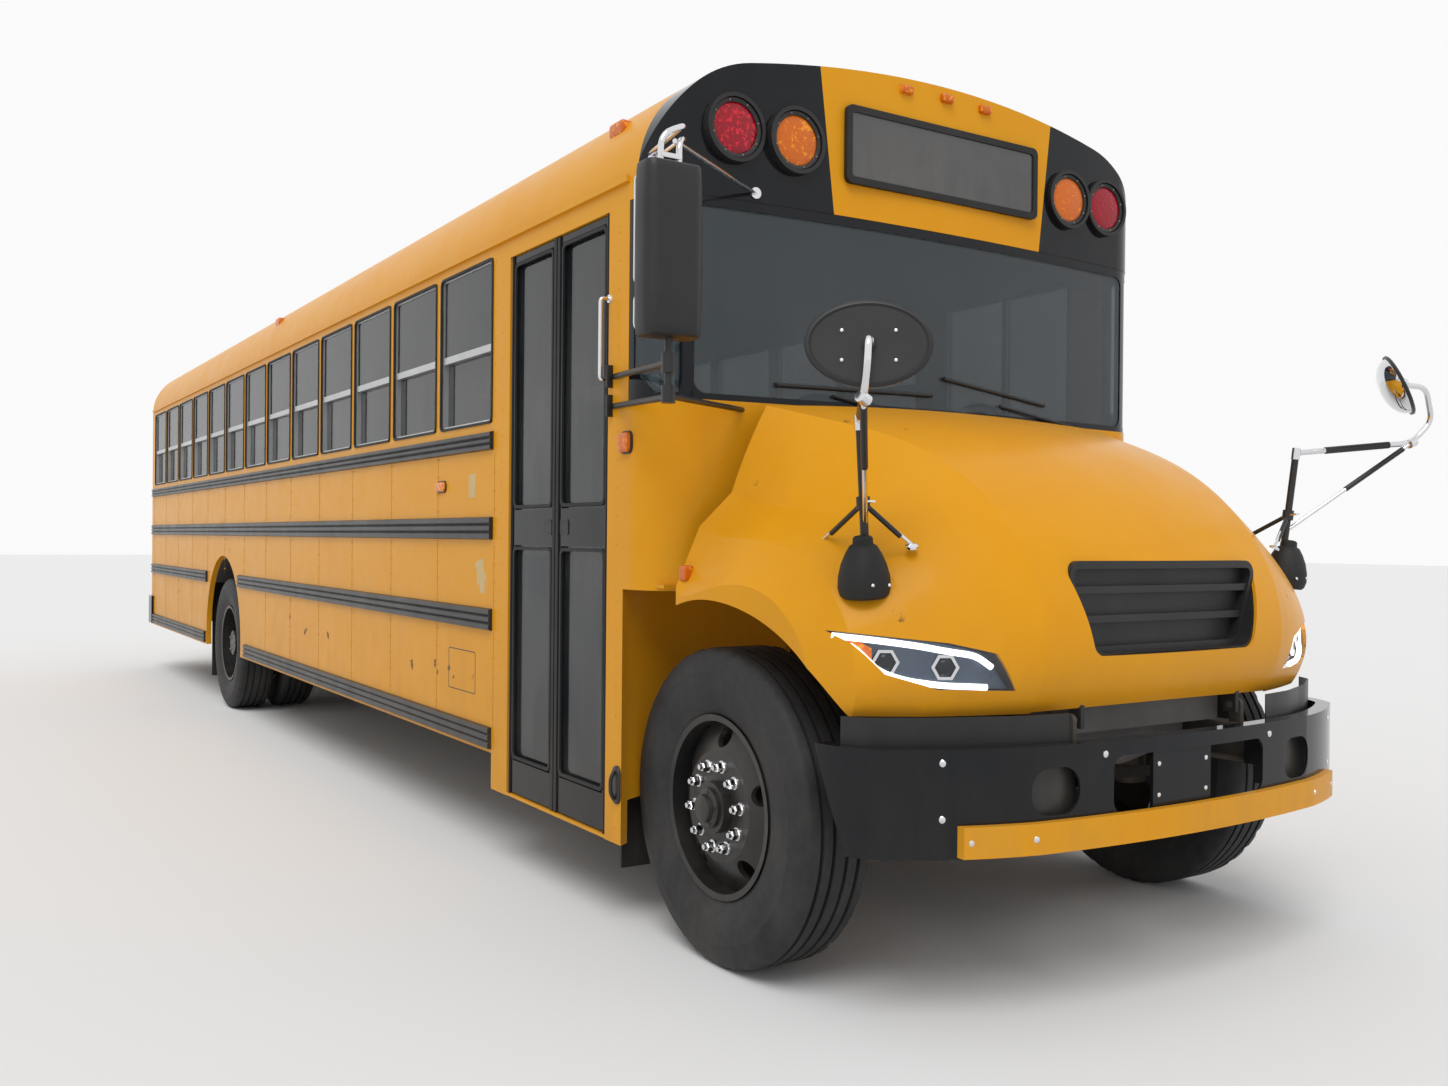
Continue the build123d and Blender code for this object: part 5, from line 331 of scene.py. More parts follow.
# Slot of a new piece, by the name of its finish
SLOT_OF = {look.name: slot_name for slot_name, look in SLOT_FINISH.items()}
for slot_name, finishes in (
    ("sash_aluminium", (CHROME, MIRROR)), ("trim_black", (RUBBER, PLASTIC, SATIN, LAMP_INSIDE)),
    ("body_yellow", (RUST, WORN, PANEL_LAP)), ("lamp_clear", (LIGHT_GUIDE,)),
):
    for look in finishes:
        SLOT_OF[look.name] = slot_name

# Measures and directions that many pieces share
FRONT_AXLE_X = 4.94
REAR_AXLE_X = -2.24
BODY_HALF = 1.219
AXLE_Z = 0.515
WINDOW_PITCH = 0.687
POSTS_X = 3.325 - WINDOW_PITCH * np.arange(14)
POSTS_OVER_WHEELS = (7, 8, 9)
SIDES = (1.0, -1.0)
AHEAD, BACK = (1, 0, 0), (-1, 0, 0)
LEFT, RIGHT = (0, 1, 0), (0, -1, 0)
UP, DOWN = (0, 0, 1), (0, 0, -1)


def grid_faces(rows, columns):
    """Quads between neighbouring points of a grid whose last column joins its first."""
    row, column = np.indices((rows - 1, columns))
    start, after = row * columns, (column + 1) % columns
    below = start + columns
    return np.stack([start + column, start + after, below + after, below + column], -1).reshape(-1, 4)


def skinned(rings):
    """Closed skin over a stack of rings: quads between them and one flat face on each end."""
    rings = np.asarray(rings, float)
    rows, columns = rings.shape[:2]
    caps = [list(range(columns)), list(range((rows - 1) * columns, rows * columns))]
    return rings.reshape(-1, 3), grid_faces(rows, columns).tolist() + caps


def closed_grid(grid):
    """Skin over a grid of points that joins up both ways."""
    rows, columns = grid.shape[:2]
    return grid.reshape(-1, 3), (grid_faces(rows + 1, columns) % (rows * columns)).tolist()


def square_axes(axis):
    """Two unit directions square to an axis, and the axis as a unit."""
    axis = np.asarray(axis, float) / np.linalg.norm(axis)
    guide = UP if abs(axis[2]) < 0.9 else AHEAD
    first = np.cross(guide, axis)
    first = first / np.linalg.norm(first)
    return first, np.cross(axis, first), axis


def around(count, first, second):
    """Offsets round a circle or ellipse, from first through second."""
    angle = np.linspace(0.0, 2.0 * np.pi, count, endpoint=False)[:, None]
    return np.cos(angle) * first + np.sin(angle) * second


def circles(profile, centre, axis, count):
    """One circle of points for each profile row (distance along the axis, radius)."""
    along, radius = np.asarray(profile, float).T[:, :, None, None]
    first, second, axis = square_axes(axis)
    return centre + along * axis + radius * around(count, first, second)


def turned(profile, centre, axis, count=24):
    """Turned solid: the circles of an open profile, skinned and closed at both ends."""
    return skinned(circles(profile, centre, axis, count))


def turned_ring(profile, centre, axis, count=48):
    """Turned ring: a closed profile carried round the axis."""
    return closed_grid(circles(profile, centre, axis, count).transpose(1, 0, 2))


def button(centre, axis, radius, height, count=8):
    """Domed rivet or screw head: four shrinking circles."""
    profile = [
        (-0.001, radius), (0.4 * height, 0.96 * radius), (0.8 * height, 0.68 * radius), (height, 0.12 * radius)
    ]
    return turned(profile, centre, axis, count)


def hexagon(centre, axis, radius, height):
    """Nut: six-sided prism with a chamfered top."""
    return turned([(0.0, radius), (0.85 * height, radius), (height, 0.84 * radius)], centre, axis, 6)


def bent_path(points, bend=0.05, steps=6):
    """Path through straight runs: each corner becomes a quadratic curve."""
    points = np.asarray(points, float)
    path = [points[:1]]
    share = np.linspace(0.0, 1.0, steps)[:, None]
    for before, corner, after in zip(points, points[1:], points[2:]):
        back, ahead = before - corner, after - corner
        near = min(bend, 0.45 * np.linalg.norm(back), 0.45 * np.linalg.norm(ahead))
        start = corner + back / np.linalg.norm(back) * near
        end = corner + ahead / np.linalg.norm(ahead) * near
        path.append((1.0 - share) ** 2 * start + 2.0 * share * (1.0 - share) * corner + share ** 2 * end)
    path.append(points[-1:])
    return np.concatenate(path)


def tube(points, radius, count=12, bend=0.05):
    """Round tube along a bent path: a circle square to the path at each of its points."""
    path = bent_path(points, bend)
    heading = np.gradient(path, axis=0)
    heading = heading / np.linalg.norm(heading, axis=1, keepdims=True)
    first = square_axes(heading[0])[0]
    rings = []
    for place, way in zip(path, heading):
        first = first - way * first.dot(way)
        first = first / np.linalg.norm(first)
        rings.append(place + radius * around(count, first, np.cross(way, first)))
    return skinned(rings)


def between(start, end, *shares):
    """Points at shares of the way from start to end."""
    return [start + share * (end - start) for share in shares]


def rounded(width, height, corner, steps=5):
    """Rectangle with round corners, as points (across, up) in order."""
    angle = np.linspace(0.0, 0.5 * np.pi, steps)
    quarters = []
    for quarter, (across, up) in enumerate(((1, 1), (-1, 1), (-1, -1), (1, -1))):
        centre = np.array([across * (0.5 * width - corner), up * (0.5 * height - corner)])
        turn_by = angle + 0.5 * np.pi * quarter
        quarters.append(centre + corner * np.stack([np.cos(turn_by), np.sin(turn_by)], -1))
    return np.concatenate(quarters)


def placed(outline, origin, across, up, out):
    """Carries outline points (across, up) into space at a distance out."""
    return origin + outline[:, :1] * across + outline[:, 1:] * up + np.cross(across, up) * out


def slab(outline, origin, across, up, low, high, round_by=0.0):
    """Plate from a flat outline, with its outer rim rounded over by round_by."""
    rings = [placed(outline, origin, across, up, low)]
    if round_by > 0.0:
        middle = outline.mean(0)
        half = np.abs(outline - middle).max(0)
        for turn_by in np.linspace(0.0, 0.5 * np.pi, 4):
            shrink = 1.0 - round_by * (1.0 - np.cos(turn_by)) / half
            level = high - round_by * (1.0 - np.sin(turn_by))
            rings.append(placed(middle + (outline - middle) * shrink, origin, across, up, level))
    else:
        rings.append(placed(outline, origin, across, up, high))
    return skinned(rings)


def right_plate(outline, middle_x, middle_z, low, high, round_by=0.0):
    """Plate on the right side panel, from low to high outwards."""
    return slab(outline, (middle_x, -BODY_HALF, middle_z), AHEAD, UP, low, high, round_by)


def frame_ring(outer, inner, origin, across, up, low, high):
    """Flat frame between two outlines of equal count: four corners carried round them."""
    corners = ((outer, low), (outer, high), (inner, high), (inner, low))
    return closed_grid(np.stack([placed(outline, origin, across, up, out) for outline, out in corners], 1))


def block(low, high):
    """Box between two corners."""
    low, high = np.asarray(low, float), np.asarray(high, float)
    outline = np.array([(0.0, 0.0), (1.0, 0.0), (1.0, 1.0), (0.0, 1.0)]) * (high - low)[:2]
    return slab(outline, low, AHEAD, LEFT, 0.0, (high - low)[2])


def bar(first, last, width, height):
    """Square bar from one point to another."""
    first, last = np.asarray(first, float), np.asarray(last, float)
    sideways, rise, _ = square_axes(last - first)
    outline = rounded(width, height, 0.2 * min(width, height), 3)
    return skinned([end + outline[:, :1] * sideways + outline[:, 1:] * rise for end in (first, last)])


def cushion(low, high, crown, lean=0.0):
    """Padded block: a super-ellipsoid between two corners; lean shears it along x as z rises."""
    low, high = np.asarray(low, float), np.asarray(high, float)
    middle, half = 0.5 * (low + high), 0.5 * (high - low)
    rise = np.linspace(-0.5 * np.pi, 0.5 * np.pi, 13)[:, None]
    around = np.linspace(0.0, 2.0 * np.pi, 40, endpoint=False)[None, :]

    def power(value, exponent):
        return np.sign(value) * np.abs(value) ** exponent

    unit = np.stack([
        power(np.cos(rise), crown) * power(np.cos(around), 0.22),
        power(np.cos(rise), crown) * power(np.sin(around), 0.22),
        power(np.sin(rise), crown) * np.ones_like(around),
    ], -1)
    points = middle + unit * half
    points[..., 0] += lean * (points[..., 2] - low[2])
    return skinned(points[1:-1])


def make(name, shapes, material, body="bus", stands_for=(), sharp=40.0):
    """One object from many shapes: joined, turned outwards, smooth but for edges over sharp degrees."""
    starts = np.cumsum([0] + [len(points) for points, _ in shapes])
    points = np.concatenate([points for points, _ in shapes])
    faces = [
        [corner + start for corner in face]
        for start, (_, shape_faces) in zip(starts, shapes) for face in shape_faces
    ]
    mesh = bpy.data.meshes.new(name)
    mesh.from_pydata(points.tolist(), [], faces)
    shell = bmesh.new()
    shell.from_mesh(mesh)
    bmesh.ops.recalc_face_normals(shell, faces=shell.faces)
    shell.to_mesh(mesh)
    shell.free()
    mesh.shade_smooth()
    mesh.set_sharp_from_angle(angle=np.radians(sharp))
    mesh.materials.append(material)
    made = bpy.data.objects.new(name, mesh)
    scene.collection.objects.link(made)
    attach(made, body)
    if stands_for:
        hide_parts(*stands_for)
    return made


# Tyres: ribbed road tread with shoulder notches and raised sidewall bands
TREAD_RADIUS = 0.515
GROOVE_DEPTH = 0.013
GROOVES_Y = (0.07, 0.025, -0.025, -0.07)
GROOVE_HALF = 0.0055
NOTCH_SHARE = 0.01
TYRE_HALF_SECTION = [  # (distance out from the middle, radius), from the bead to the tread's edge
    (0.098, 0.29), (0.108, 0.3), (0.112, 0.312), (0.126, 0.345), (0.1345, 0.38), (0.138, 0.408),
    (0.1372, 0.432), (0.1385, 0.436), (0.1372, 0.44), (0.132, 0.468), (0.126, 0.486), (0.119, 0.499),
    (0.113, 0.507), (0.103, 0.5135),
]


def treaded_tyre(axle_x, wheel_y, count=144):
    """Tyre ring: mirrored half sections, a grooved crown between, and shoulder points that dip in turn."""
    crown, wall = [], GROOVE_HALF + 0.0015
    for groove_y in GROOVES_Y:
        for out, depth in ((wall, 0), (GROOVE_HALF, GROOVE_DEPTH), (-GROOVE_HALF, GROOVE_DEPTH), (-wall, 0)):
            crown.append((groove_y + out, TREAD_RADIUS - depth))
    section = TYRE_HALF_SECTION + crown + [(-out, radius) for out, radius in reversed(TYRE_HALF_SECTION)]
    centre = (axle_x, wheel_y, AXLE_Z)
    grid = circles(section, centre, LEFT, count).transpose(1, 0, 2)
    edge, total = len(TYRE_HALF_SECTION), len(section)
    shoulder = np.isin(np.arange(total), (edge - 2, edge - 1, total - edge, total - edge + 1))
    notched = (np.arange(count) % 4 == 0)[:, None] & shoulder
    inward = (grid - centre) * (1.0, 0, 1.0)
    return closed_grid(grid - notched[..., None] * inward * NOTCH_SHARE)


def wheel_spots(axle_x, face_y, radius, angles):
    """Points on a circle round an axle, in the plane of a wheel's face."""
    return [(axle_x + radius * np.cos(angle), face_y, AXLE_Z + radius * np.sin(angle)) for angle in angles]


FRONT_WHEEL_Y = 1.0
REAR_WHEEL_Y = 1.052
DUAL_SPACING = 0.33
FRONT_FACE_Y = FRONT_WHEEL_Y + 0.104
REAR_FACE_Y = REAR_WHEEL_Y - 0.5 * DUAL_SPACING + 0.012
HUB_FACE_Y = FRONT_FACE_Y + 0.034
BOLT_CIRCLE = 0.135
BOLT_ANGLES = np.arange(10) * np.pi / 5.0 + 0.12
CAP_PROFILE = (
    (-0.006, 0.064), (0.01, 0.064), (0.014, 0.06), (0.016, 0.046), (0.03, 0.043), (0.034, 0.036), (0.035, 0.012)
)
for hand, side in (("left", 1.0), ("right", -1.0)):
    front_wheel, rear_wheels, out = f"front_wheel_{hand}", f"rear_wheels_{hand}", (0, side, 0)
    tyre = treaded_tyre(FRONT_AXLE_X, side * FRONT_WHEEL_Y)
    make(f"tread_front_{hand}", [tyre], TYRE, front_wheel, (f"tyre_front_{hand}",))
    twin_tyres = [treaded_tyre(REAR_AXLE_X, side * y) for y in (REAR_WHEEL_Y, REAR_WHEEL_Y - DUAL_SPACING)]
    make(f"tread_rear_{hand}", twin_tyres, TYRE, rear_wheels, (f"tyres_rear_{hand}",))

    # Nuts on washers, front studs, hub caps and hub bolts
    nuts = []
    for spot in wheel_spots(FRONT_AXLE_X, side * FRONT_FACE_Y, BOLT_CIRCLE, BOLT_ANGLES):
        nuts += [turned([(0, 0.022), (0.006, 0.021)], spot, out, 16), hexagon(spot, out, 0.0175, 0.03),
                 turned([(0.028, 0.01), (0.04, 0.009)], spot, out, 10)]
    make(f"wheel_nuts_front_{hand}", nuts, CHROME, front_wheel)
    cap = [turned(CAP_PROFILE, (FRONT_AXLE_X, side * HUB_FACE_Y, AXLE_Z), out, 32)]
    for spot in wheel_spots(FRONT_AXLE_X, side * (HUB_FACE_Y + 0.012), 0.054, BOLT_ANGLES[::2]):
        cap.append(hexagon(spot, out, 0.007, 0.006))
    make(f"hub_cap_front_{hand}", cap, SATIN, front_wheel, ())
    rear_nuts = []
    for spot in wheel_spots(REAR_AXLE_X, side * REAR_FACE_Y, BOLT_CIRCLE, BOLT_ANGLES):
        rear_nuts += [turned([(-0.012, 0.022), (0.006, 0.021)], spot, out, 16),
                      hexagon(spot, out, 0.0175, 0.034)]
    for spot in wheel_spots(REAR_AXLE_X, side * 1.139, 0.078, BOLT_ANGLES[::2]):
        rear_nuts.append(hexagon(spot, out, 0.011, 0.01))
    make(f"wheel_nuts_rear_{hand}", rear_nuts, STEEL, rear_wheels)


# Warning and signal lamps: domed lens faces in black bezels with screws
REAR_FACE_X = -5.868


def front_lens_x(lamp_y):
    """Front lens face on the bowed cap."""
    return 4.788 - 0.075 * (lamp_y / BODY_HALF) ** 2


lamp_faces = []
for tint, lamp_y, lamp_z in (("red", 0.935, 2.796), ("amber", 0.69, 2.79)):
    for side in SIDES:
        for lamp_x, way in ((front_lens_x(lamp_y), AHEAD), (REAR_FACE_X, BACK)):
            lamp_faces.append((tint, (lamp_x, side * lamp_y, lamp_z), way, 0.1))
for tint, lamp_y, lamp_z in (("red", 0.915, 1.56), ("red", 0.7, 1.56), ("amber", 0.915, 1.29)):
    for side in SIDES:
        lamp_faces.append((tint, (REAR_FACE_X, side * lamp_y, lamp_z), BACK, 0.084))
domes = {"red": [], "amber": []}
lamp_bodies, bezels, lens_screws = [], [], []
for tint, centre, axis, radius in lamp_faces:
    dome = [(-0.002, radius - 0.01)]
    for angle in np.linspace(0, 0.5 * np.pi, 7):
        dome.append((0.011 * np.sin(angle), (radius - 0.01) * max(np.cos(angle), 0.02)))
    domes[tint].append(turned(dome, centre, axis, 40))
    if tint == "amber":
        lamp_bodies.append(turned([(-0.06, radius + 0.003), (0, radius + 0.003)], centre, axis, 40))
    bezel = [(-0.002, radius - 0.012), (0.006, radius - 0.012), (0.01, radius - 0.006), (0.01, radius + 0.001),
             (-0.002, radius + 0.003)]
    bezels.append(turned_ring(bezel, centre, axis))
    for angle in np.arange(8) * np.pi / 4.0 + 0.3:
        rim = (radius - 0.005) * np.array([0, np.cos(angle), np.sin(angle)])
        lens_screws.append(button(centre + rim + np.array(axis) * 0.009, axis, 0.0042, 0.003, 6))
make("red_lens_domes", domes["red"], RED)
make("lamp_bezels", bezels, SATIN)
make("lens_screws", lens_screws, STEEL)

# Side windows: a rubber channel round each window, and the driver's wider one on the left
WINDOW_Z = 2.2255
channels = []
for side in SIDES:
    spans = [(3.295 - 0.3135 - WINDOW_PITCH * number, 0.627) for number in range(13)]
    if side > 0:
        spans.append((3.92, 0.83))
    for middle_x, width in spans:
        outer, inner = rounded(width + 0.006, 0.711, 0.032), rounded(width - 0.016, 0.689, 0.022)
        middle = (middle_x, side * BODY_HALF, WINDOW_Z)
        channels.append(frame_ring(outer, inner, middle, BACK, UP, -0.006, 0.0025))
make("window_channels", channels, RUBBER)

# Entrance doors: seals where the leaves meet, glass gaskets and hand cups
DOOR_MIDDLE_X = 3.921
LEAF_FACE_Y = -1.209
LEAF_PANES = ((0.478, 1.332), (1.511, 2.5))
for leaf, way in (("door_front", 1.0), ("door_rear", -1.0)):
    seal = sorted(DOOR_MIDDLE_X + way * away for away in (0.0045, 0.0265))
    trim = [block((seal[0], LEAF_FACE_Y - 0.006, 0.325), (seal[1], LEAF_FACE_Y + 0.01, 2.54))]
    for low, high in LEAF_PANES:
        outer = rounded(0.372, high - low + 0.022, 0.026)
        inner = rounded(0.348, high - low - 0.004, 0.02)
        middle = (DOOR_MIDDLE_X + way * 0.2245, LEAF_FACE_Y, 0.5 * (low + high))
        trim.append(frame_ring(outer, inner, middle, AHEAD, DOWN, -0.004, 0.004))
    make(f"{leaf}_gaskets", trim, RUBBER, leaf)
    cup_middle = (DOOR_MIDDLE_X + way * 0.075, LEAF_FACE_Y, 1.422)
    rim = rounded(0.072, 0.06, 0.012), rounded(0.054, 0.042, 0.008)
    cup = [frame_ring(*rim, cup_middle, AHEAD, DOWN, -0.003, 0.005),
           slab(rounded(0.056, 0.044, 0.008), cup_middle, AHEAD, DOWN, -0.003, 0.0012)]
    make(f"{leaf}_hand_cup", cup, PLASTIC, leaf)

# Right side mirror: ridged black housing, glass behind, arms, chrome hook and rods
MIRROR_X, MIRROR_Y = 5.19, -1.45
MIRROR_LOW_Z, MIRROR_HEIGHT = 1.972, 0.504
housing_rings = []
for share in np.linspace(0, 1.0, 15):
    end = np.sin(np.pi * np.clip(share, 0.02, 0.98)) ** 0.22
    outline = rounded(0.196 * (0.8 + 0.2 * end), 0.118 * (0.55 + 0.45 * end), 0.036 * end + 0.006, 6)
    ridge = 0.01 * np.exp(-((outline[:, 0] / 0.035) ** 2)) * (outline[:, 1] > 0) * np.sin(np.pi * share)
    level = MIRROR_LOW_Z + MIRROR_HEIGHT * (0.5 - 0.5 * np.cos(np.pi * share))
    x, y = MIRROR_X + outline[:, 1] + ridge - 0.006, MIRROR_Y + outline[:, 0]
    housing_rings.append(np.stack([x, y, np.full(len(outline), level)], -1))
make("mirror_housing", [skinned(housing_rings)], PLASTIC, "bus", ("side_mirrors",), 60.0)
make("mirror_glass", [
    slab(rounded(0.168, 0.33, 0.022), (5.127, MIRROR_Y, 2.29), RIGHT, UP, -0.006, 0.003),
    slab(rounded(0.168, 0.11, 0.022), (5.127, MIRROR_Y, 2.046), RIGHT, UP, -0.006, 0.005, 0.004),
], MIRROR)


def post(z, y=MIRROR_Y):
    """Point in the plane of the mirror's post."""
    return MIRROR_X, y, z


make("mirror_arms_black", [
    tube([post(1.797), post(2.01)], 0.0125), tube([post(1.8), (4.73, -0.884, 1.831)], 0.0095),
    tube([(4.405, -1.214, 1.955), (4.7, -1.3, 1.934), post(1.897)], 0.011),
    tube([(4.405, -1.214, 1.85), (4.7, -1.3, 1.831), post(1.797)], 0.011),
    bar((4.394, -1.222, 1.915), (4.394, -1.222, 1.995), 0.04, 0.014),
    bar((4.394, -1.222, 1.812), (4.394, -1.222, 1.89), 0.04, 0.014),
    turned([(-0.03, 0.021), (0.03, 0.021)], post(1.897), UP, 16),
    turned([(-0.026, 0.021), (0.026, 0.021)], post(1.805), UP, 16),
], SATIN, "bus", ("mirror_arms",))
make("mirror_rods_chrome", [
    tube([post(2.44, -1.482), post(2.56, -1.482), post(2.6, -1.4), (4.635, -1.205, 2.69)], 0.0095, 12, 0.06),
    tube([post(2.44, -1.42), post(2.548, -1.42), (5.15, -1.38, 2.575), (4.64, -1.2, 2.66)], 0.0095),
    tube([(5.198, -1.44, 2.545), (4.744, -0.85, 2.585)], 0.0075),
    turned([(-0.006, 0.024), (0.006, 0.024)], (4.637, -1.196, 2.676), (0.15, -1.0, 0.25), 16),
    turned([(-0.004, 0.02), (0.006, 0.02)], (4.744, -0.848, 2.585), (1.0, -0.1, 0), 16),
    bar(post(2.5, -1.486), post(2.5, -1.416), 0.022, 0.016),
], CHROME)


# Crossover mirrors: masts with black sleeves, chrome bends and feet, stays, bell boots and oval heads
def oval_head(middle, facing, profile):
    """Oval mirror head: ellipses (depth, half across, half up) stacked along the way its back faces."""
    across, up, way = square_axes(facing)
    return skinned([middle + depth * way + around(48, wide * across, high * up) for depth, wide, high in profile])


BACK_SHELL = (
    (-0.013, 0.156, 0.107), (-0.012, 0.166, 0.117), (-0.004, 0.168, 0.118), (0, 0.163, 0.113),
    (0.001, 0.156, 0.107), (-0.003, 0.15, 0.101), (-0.0045, 0.01, 0.008),
)
DOME = (
    (-0.012, 0.158, 0.109), (-0.03, 0.15, 0.103), (-0.046, 0.13, 0.089), (-0.06, 0.098, 0.067),
    (-0.068, 0.06, 0.041), (-0.0715, 0.012, 0.008),
)
BOOT_PROFILE = (
    (0, 0.062), (0.008, 0.071), (0.03, 0.077), (0.062, 0.075), (0.098, 0.066), (0.128, 0.053), (0.15, 0.04),
    (0.156, 0.03), (0.172, 0.029), (0.178, 0.024), (0.18, 0.014),
)
CROSS_HEADS = (  # side, head's middle, way its back faces, bends from the mast to the head
    (1.0, (5.825, 1.287, 1.971), (0.757, 0.494, 0.42),
     ((5.78, 1.445, 1.767), (5.807, 1.534, 1.853), (5.845, 1.42, 1.969), (5.822, 1.291, 1.971))),
    (-1.0, (5.84, -1.229, 1.894), (0.8, -0.58, 0.15),
     ((5.84, -1.245, 1.75), (5.888, -1.272, 1.83), (5.88, -1.262, 1.903), (5.838, -1.23, 1.895))),
)
head_shells, head_domes, sleeves, bright, boots = [], [], [], [], []
for side, middle, facing, bends in CROSS_HEADS:
    middle, elbow = np.array(middle), np.array(bends[0])
    foot, mast_top = np.array([5.55, side * 1.0, 1.365]), np.array([5.57, side * 1.04, 1.722])
    brace_foot, stay_top = foot + (0, 0, 0.06), np.array([5.557, side * 1.014, 1.49])
    across, up, way = square_axes(facing)
    head_shells.append(oval_head(middle, facing, BACK_SHELL))
    head_domes.append(oval_head(middle, facing, DOME))
    sleeves += [
        tube([foot, mast_top], 0.0125), tube(between(mast_top, elbow, 0.25, 0.8), 0.013),
        tube(between(brace_foot, elbow, 0.48, 0.93), 0.01),
        turned([(-0.018, 0.02), (0.018, 0.02)], stay_top, mast_top - foot, 16),
    ]
    bright += [
        tube([mast_top, *bends], 0.0105, 12, 0.045), tube(between(foot, mast_top, 0.93, 1.05), 0.0155),
        tube([brace_foot, elbow], 0.0075), turned([(-0.016, 0.017), (0.016, 0.017)], elbow, (0.2, side, 0.4), 16),
        bar(stay_top + (0.016, 0, 0), stay_top + (0.04, 0, 0.004), 0.024, 0.006),
        turned([(-0.006, 0.02), (0.016, 0.018), (0.026, 0.011)], middle, way, 16),
    ]
    for x, y, z in ((5.334, 0.992, 1.375), (5.601, 0.867, 1.365)):
        stay_foot = np.array([x, side * y, z])
        sleeves.append(tube(between(stay_foot, stay_top, 0.24, 0.93), 0.008))
        pad = [(-0.004, 0.019), (0.003, 0.019), (0.008, 0.01)]
        bright += [tube([stay_foot + (0, 0, 0.006), stay_top], 0.0055),
                   turned(pad, stay_foot + (0, 0, 0.002), (0.35, side * 0.3, 1.0), 14)]
    boots.append(turned(BOOT_PROFILE, (5.55, side * 1.0, 1.218), (0.06, side * 0.1, 1.0), 28))
    for spread in (-0.03, 0.03):
        bright.append(button((5.624, side * 1.0 + spread, 1.256), (1.0, 0, 0.35), 0.006, 0.004))
    for bolt_across, bolt_up in ((-0.07, 0.035), (0.07, 0.035), (-0.07, -0.045), (0.07, -0.045)):
        bright.append(button(middle + bolt_across * across + bolt_up * up - 0.003 * way, way, 0.006, 0.004))
make("crossover_shells", head_shells, PLASTIC, "hood", ("crossover_mirrors",), 30.0)
make("crossover_domes", head_domes, MIRROR, "hood", sharp=60.0)
make("crossover_sleeves", sleeves, SATIN, "hood")
make("crossover_chrome", bright, CHROME, "hood")
make("crossover_boots", boots, RUBBER, "hood", sharp=30.0)

# Bumper: bolts of its face, its plate carrier and its strip
BUMPER_X = (5.925, 5.879, 5.805, 5.71, 5.615, 5.515)
BUMPER_Y = (0, 0.64, 0.87, 1.05, 1.115, 1.14)


def bumper_x(across):
    """Bumper face at a distance across, between its plan points, with the bow of the middle run."""
    across = abs(across)
    if across < BUMPER_Y[1]:
        return BUMPER_X[0] - (BUMPER_X[0] - BUMPER_X[1]) * (across / BUMPER_Y[1]) ** 2
    return float(np.interp(across, BUMPER_Y, BUMPER_X))


bolts = [button((5.9185, y, z), AHEAD, 0.008, 0.005, 10) for y in (-0.165, 0.055) for z in (0.722, 0.628)]
for across, height, proud, splay, radius, head in (
    (0.91, 0.768, 0.0005, 1.0, 0.011, 0.006), (0.91, 0.612, 0.0005, 1.0, 0.011, 0.006),
    (0.39, 0.768, 0.0005, 0.12, 0.011, 0.006),
    (0.85, 0.55, 0.0255, 0.8, 0.01, 0.005), (0.66, 0.55, 0.0255, 0.8, 0.01, 0.005),
):
    for side in SIDES:
        spot = (bumper_x(across) + proud, side * across, height)
        bolts.append(button(spot, (1.0, splay * side * across, 0), radius, head, 12))
make("bumper_bolts", bolts, CHROME)

# Sign frame, lower latch by the door, grab handle and the rail over the steps
sign_rim = rounded(0.968, 0.283, 0.026), rounded(0.918, 0.233, 0.014)
make("sign_frame", [frame_ring(*sign_rim, (4.787, 0, 2.8145), LEFT, UP, -0.012, 0.006)], RUBBER)
LATCH_X = 4.459
latch_loop = [(LATCH_X, y, z) for y, z in ((-1.232, 0.565), (-1.246, 0.54), (-1.246, 0.49), (-1.232, 0.465))]
latch = right_plate(rounded(0.052, 0.135, 0.024), LATCH_X, 0.515, -0.004, 0.01, 0.006)
make("post_latch", [latch, tube(latch_loop, 0.007)], SATIN)
GRAB_X = 4.372
grab_loop = [(GRAB_X, y, z) for y, z in ((-1.222, 2.235), (-1.256, 2.235), (-1.256, 1.945), (-1.222, 1.945))]
grab_feet = [turned([(-0.002, 0.017), (0.005, 0.015)], (GRAB_X, -BODY_HALF, z), RIGHT, 16) for z in (2.235, 1.945)]
make("grab_handle", [tube(grab_loop, 0.0075, 12, 0.03), *grab_feet], CHROME)
make("step_rail", [tube([(4.27, -1.105, 0.7), (4.15, -1.09, 1.05), (4.02, -1.09, 1.33)], 0.016)], YELLOW)


# Marks on the right panels: rust spots, a faded square and round patch, and the hatch's outline
def ragged_disc(middle_x, middle_z, radius, seed):
    """Flat ragged patch: a disc whose radius varies with the angle."""
    angle = np.linspace(0, 2.0 * np.pi, 24, endpoint=False)
    waves = 0.25 * np.sin(2.0 * angle + seed) + 0.18 * np.sin(5.0 * angle + 2.0 * seed)
    reach = radius * (1.0 + waves + 0.1 * np.sin(9.0 * angle + seed))
    outline = np.stack([reach * np.cos(angle), reach * np.sin(angle)], -1)
    return right_plate(outline, middle_x, middle_z, -0.002, 0.0006)


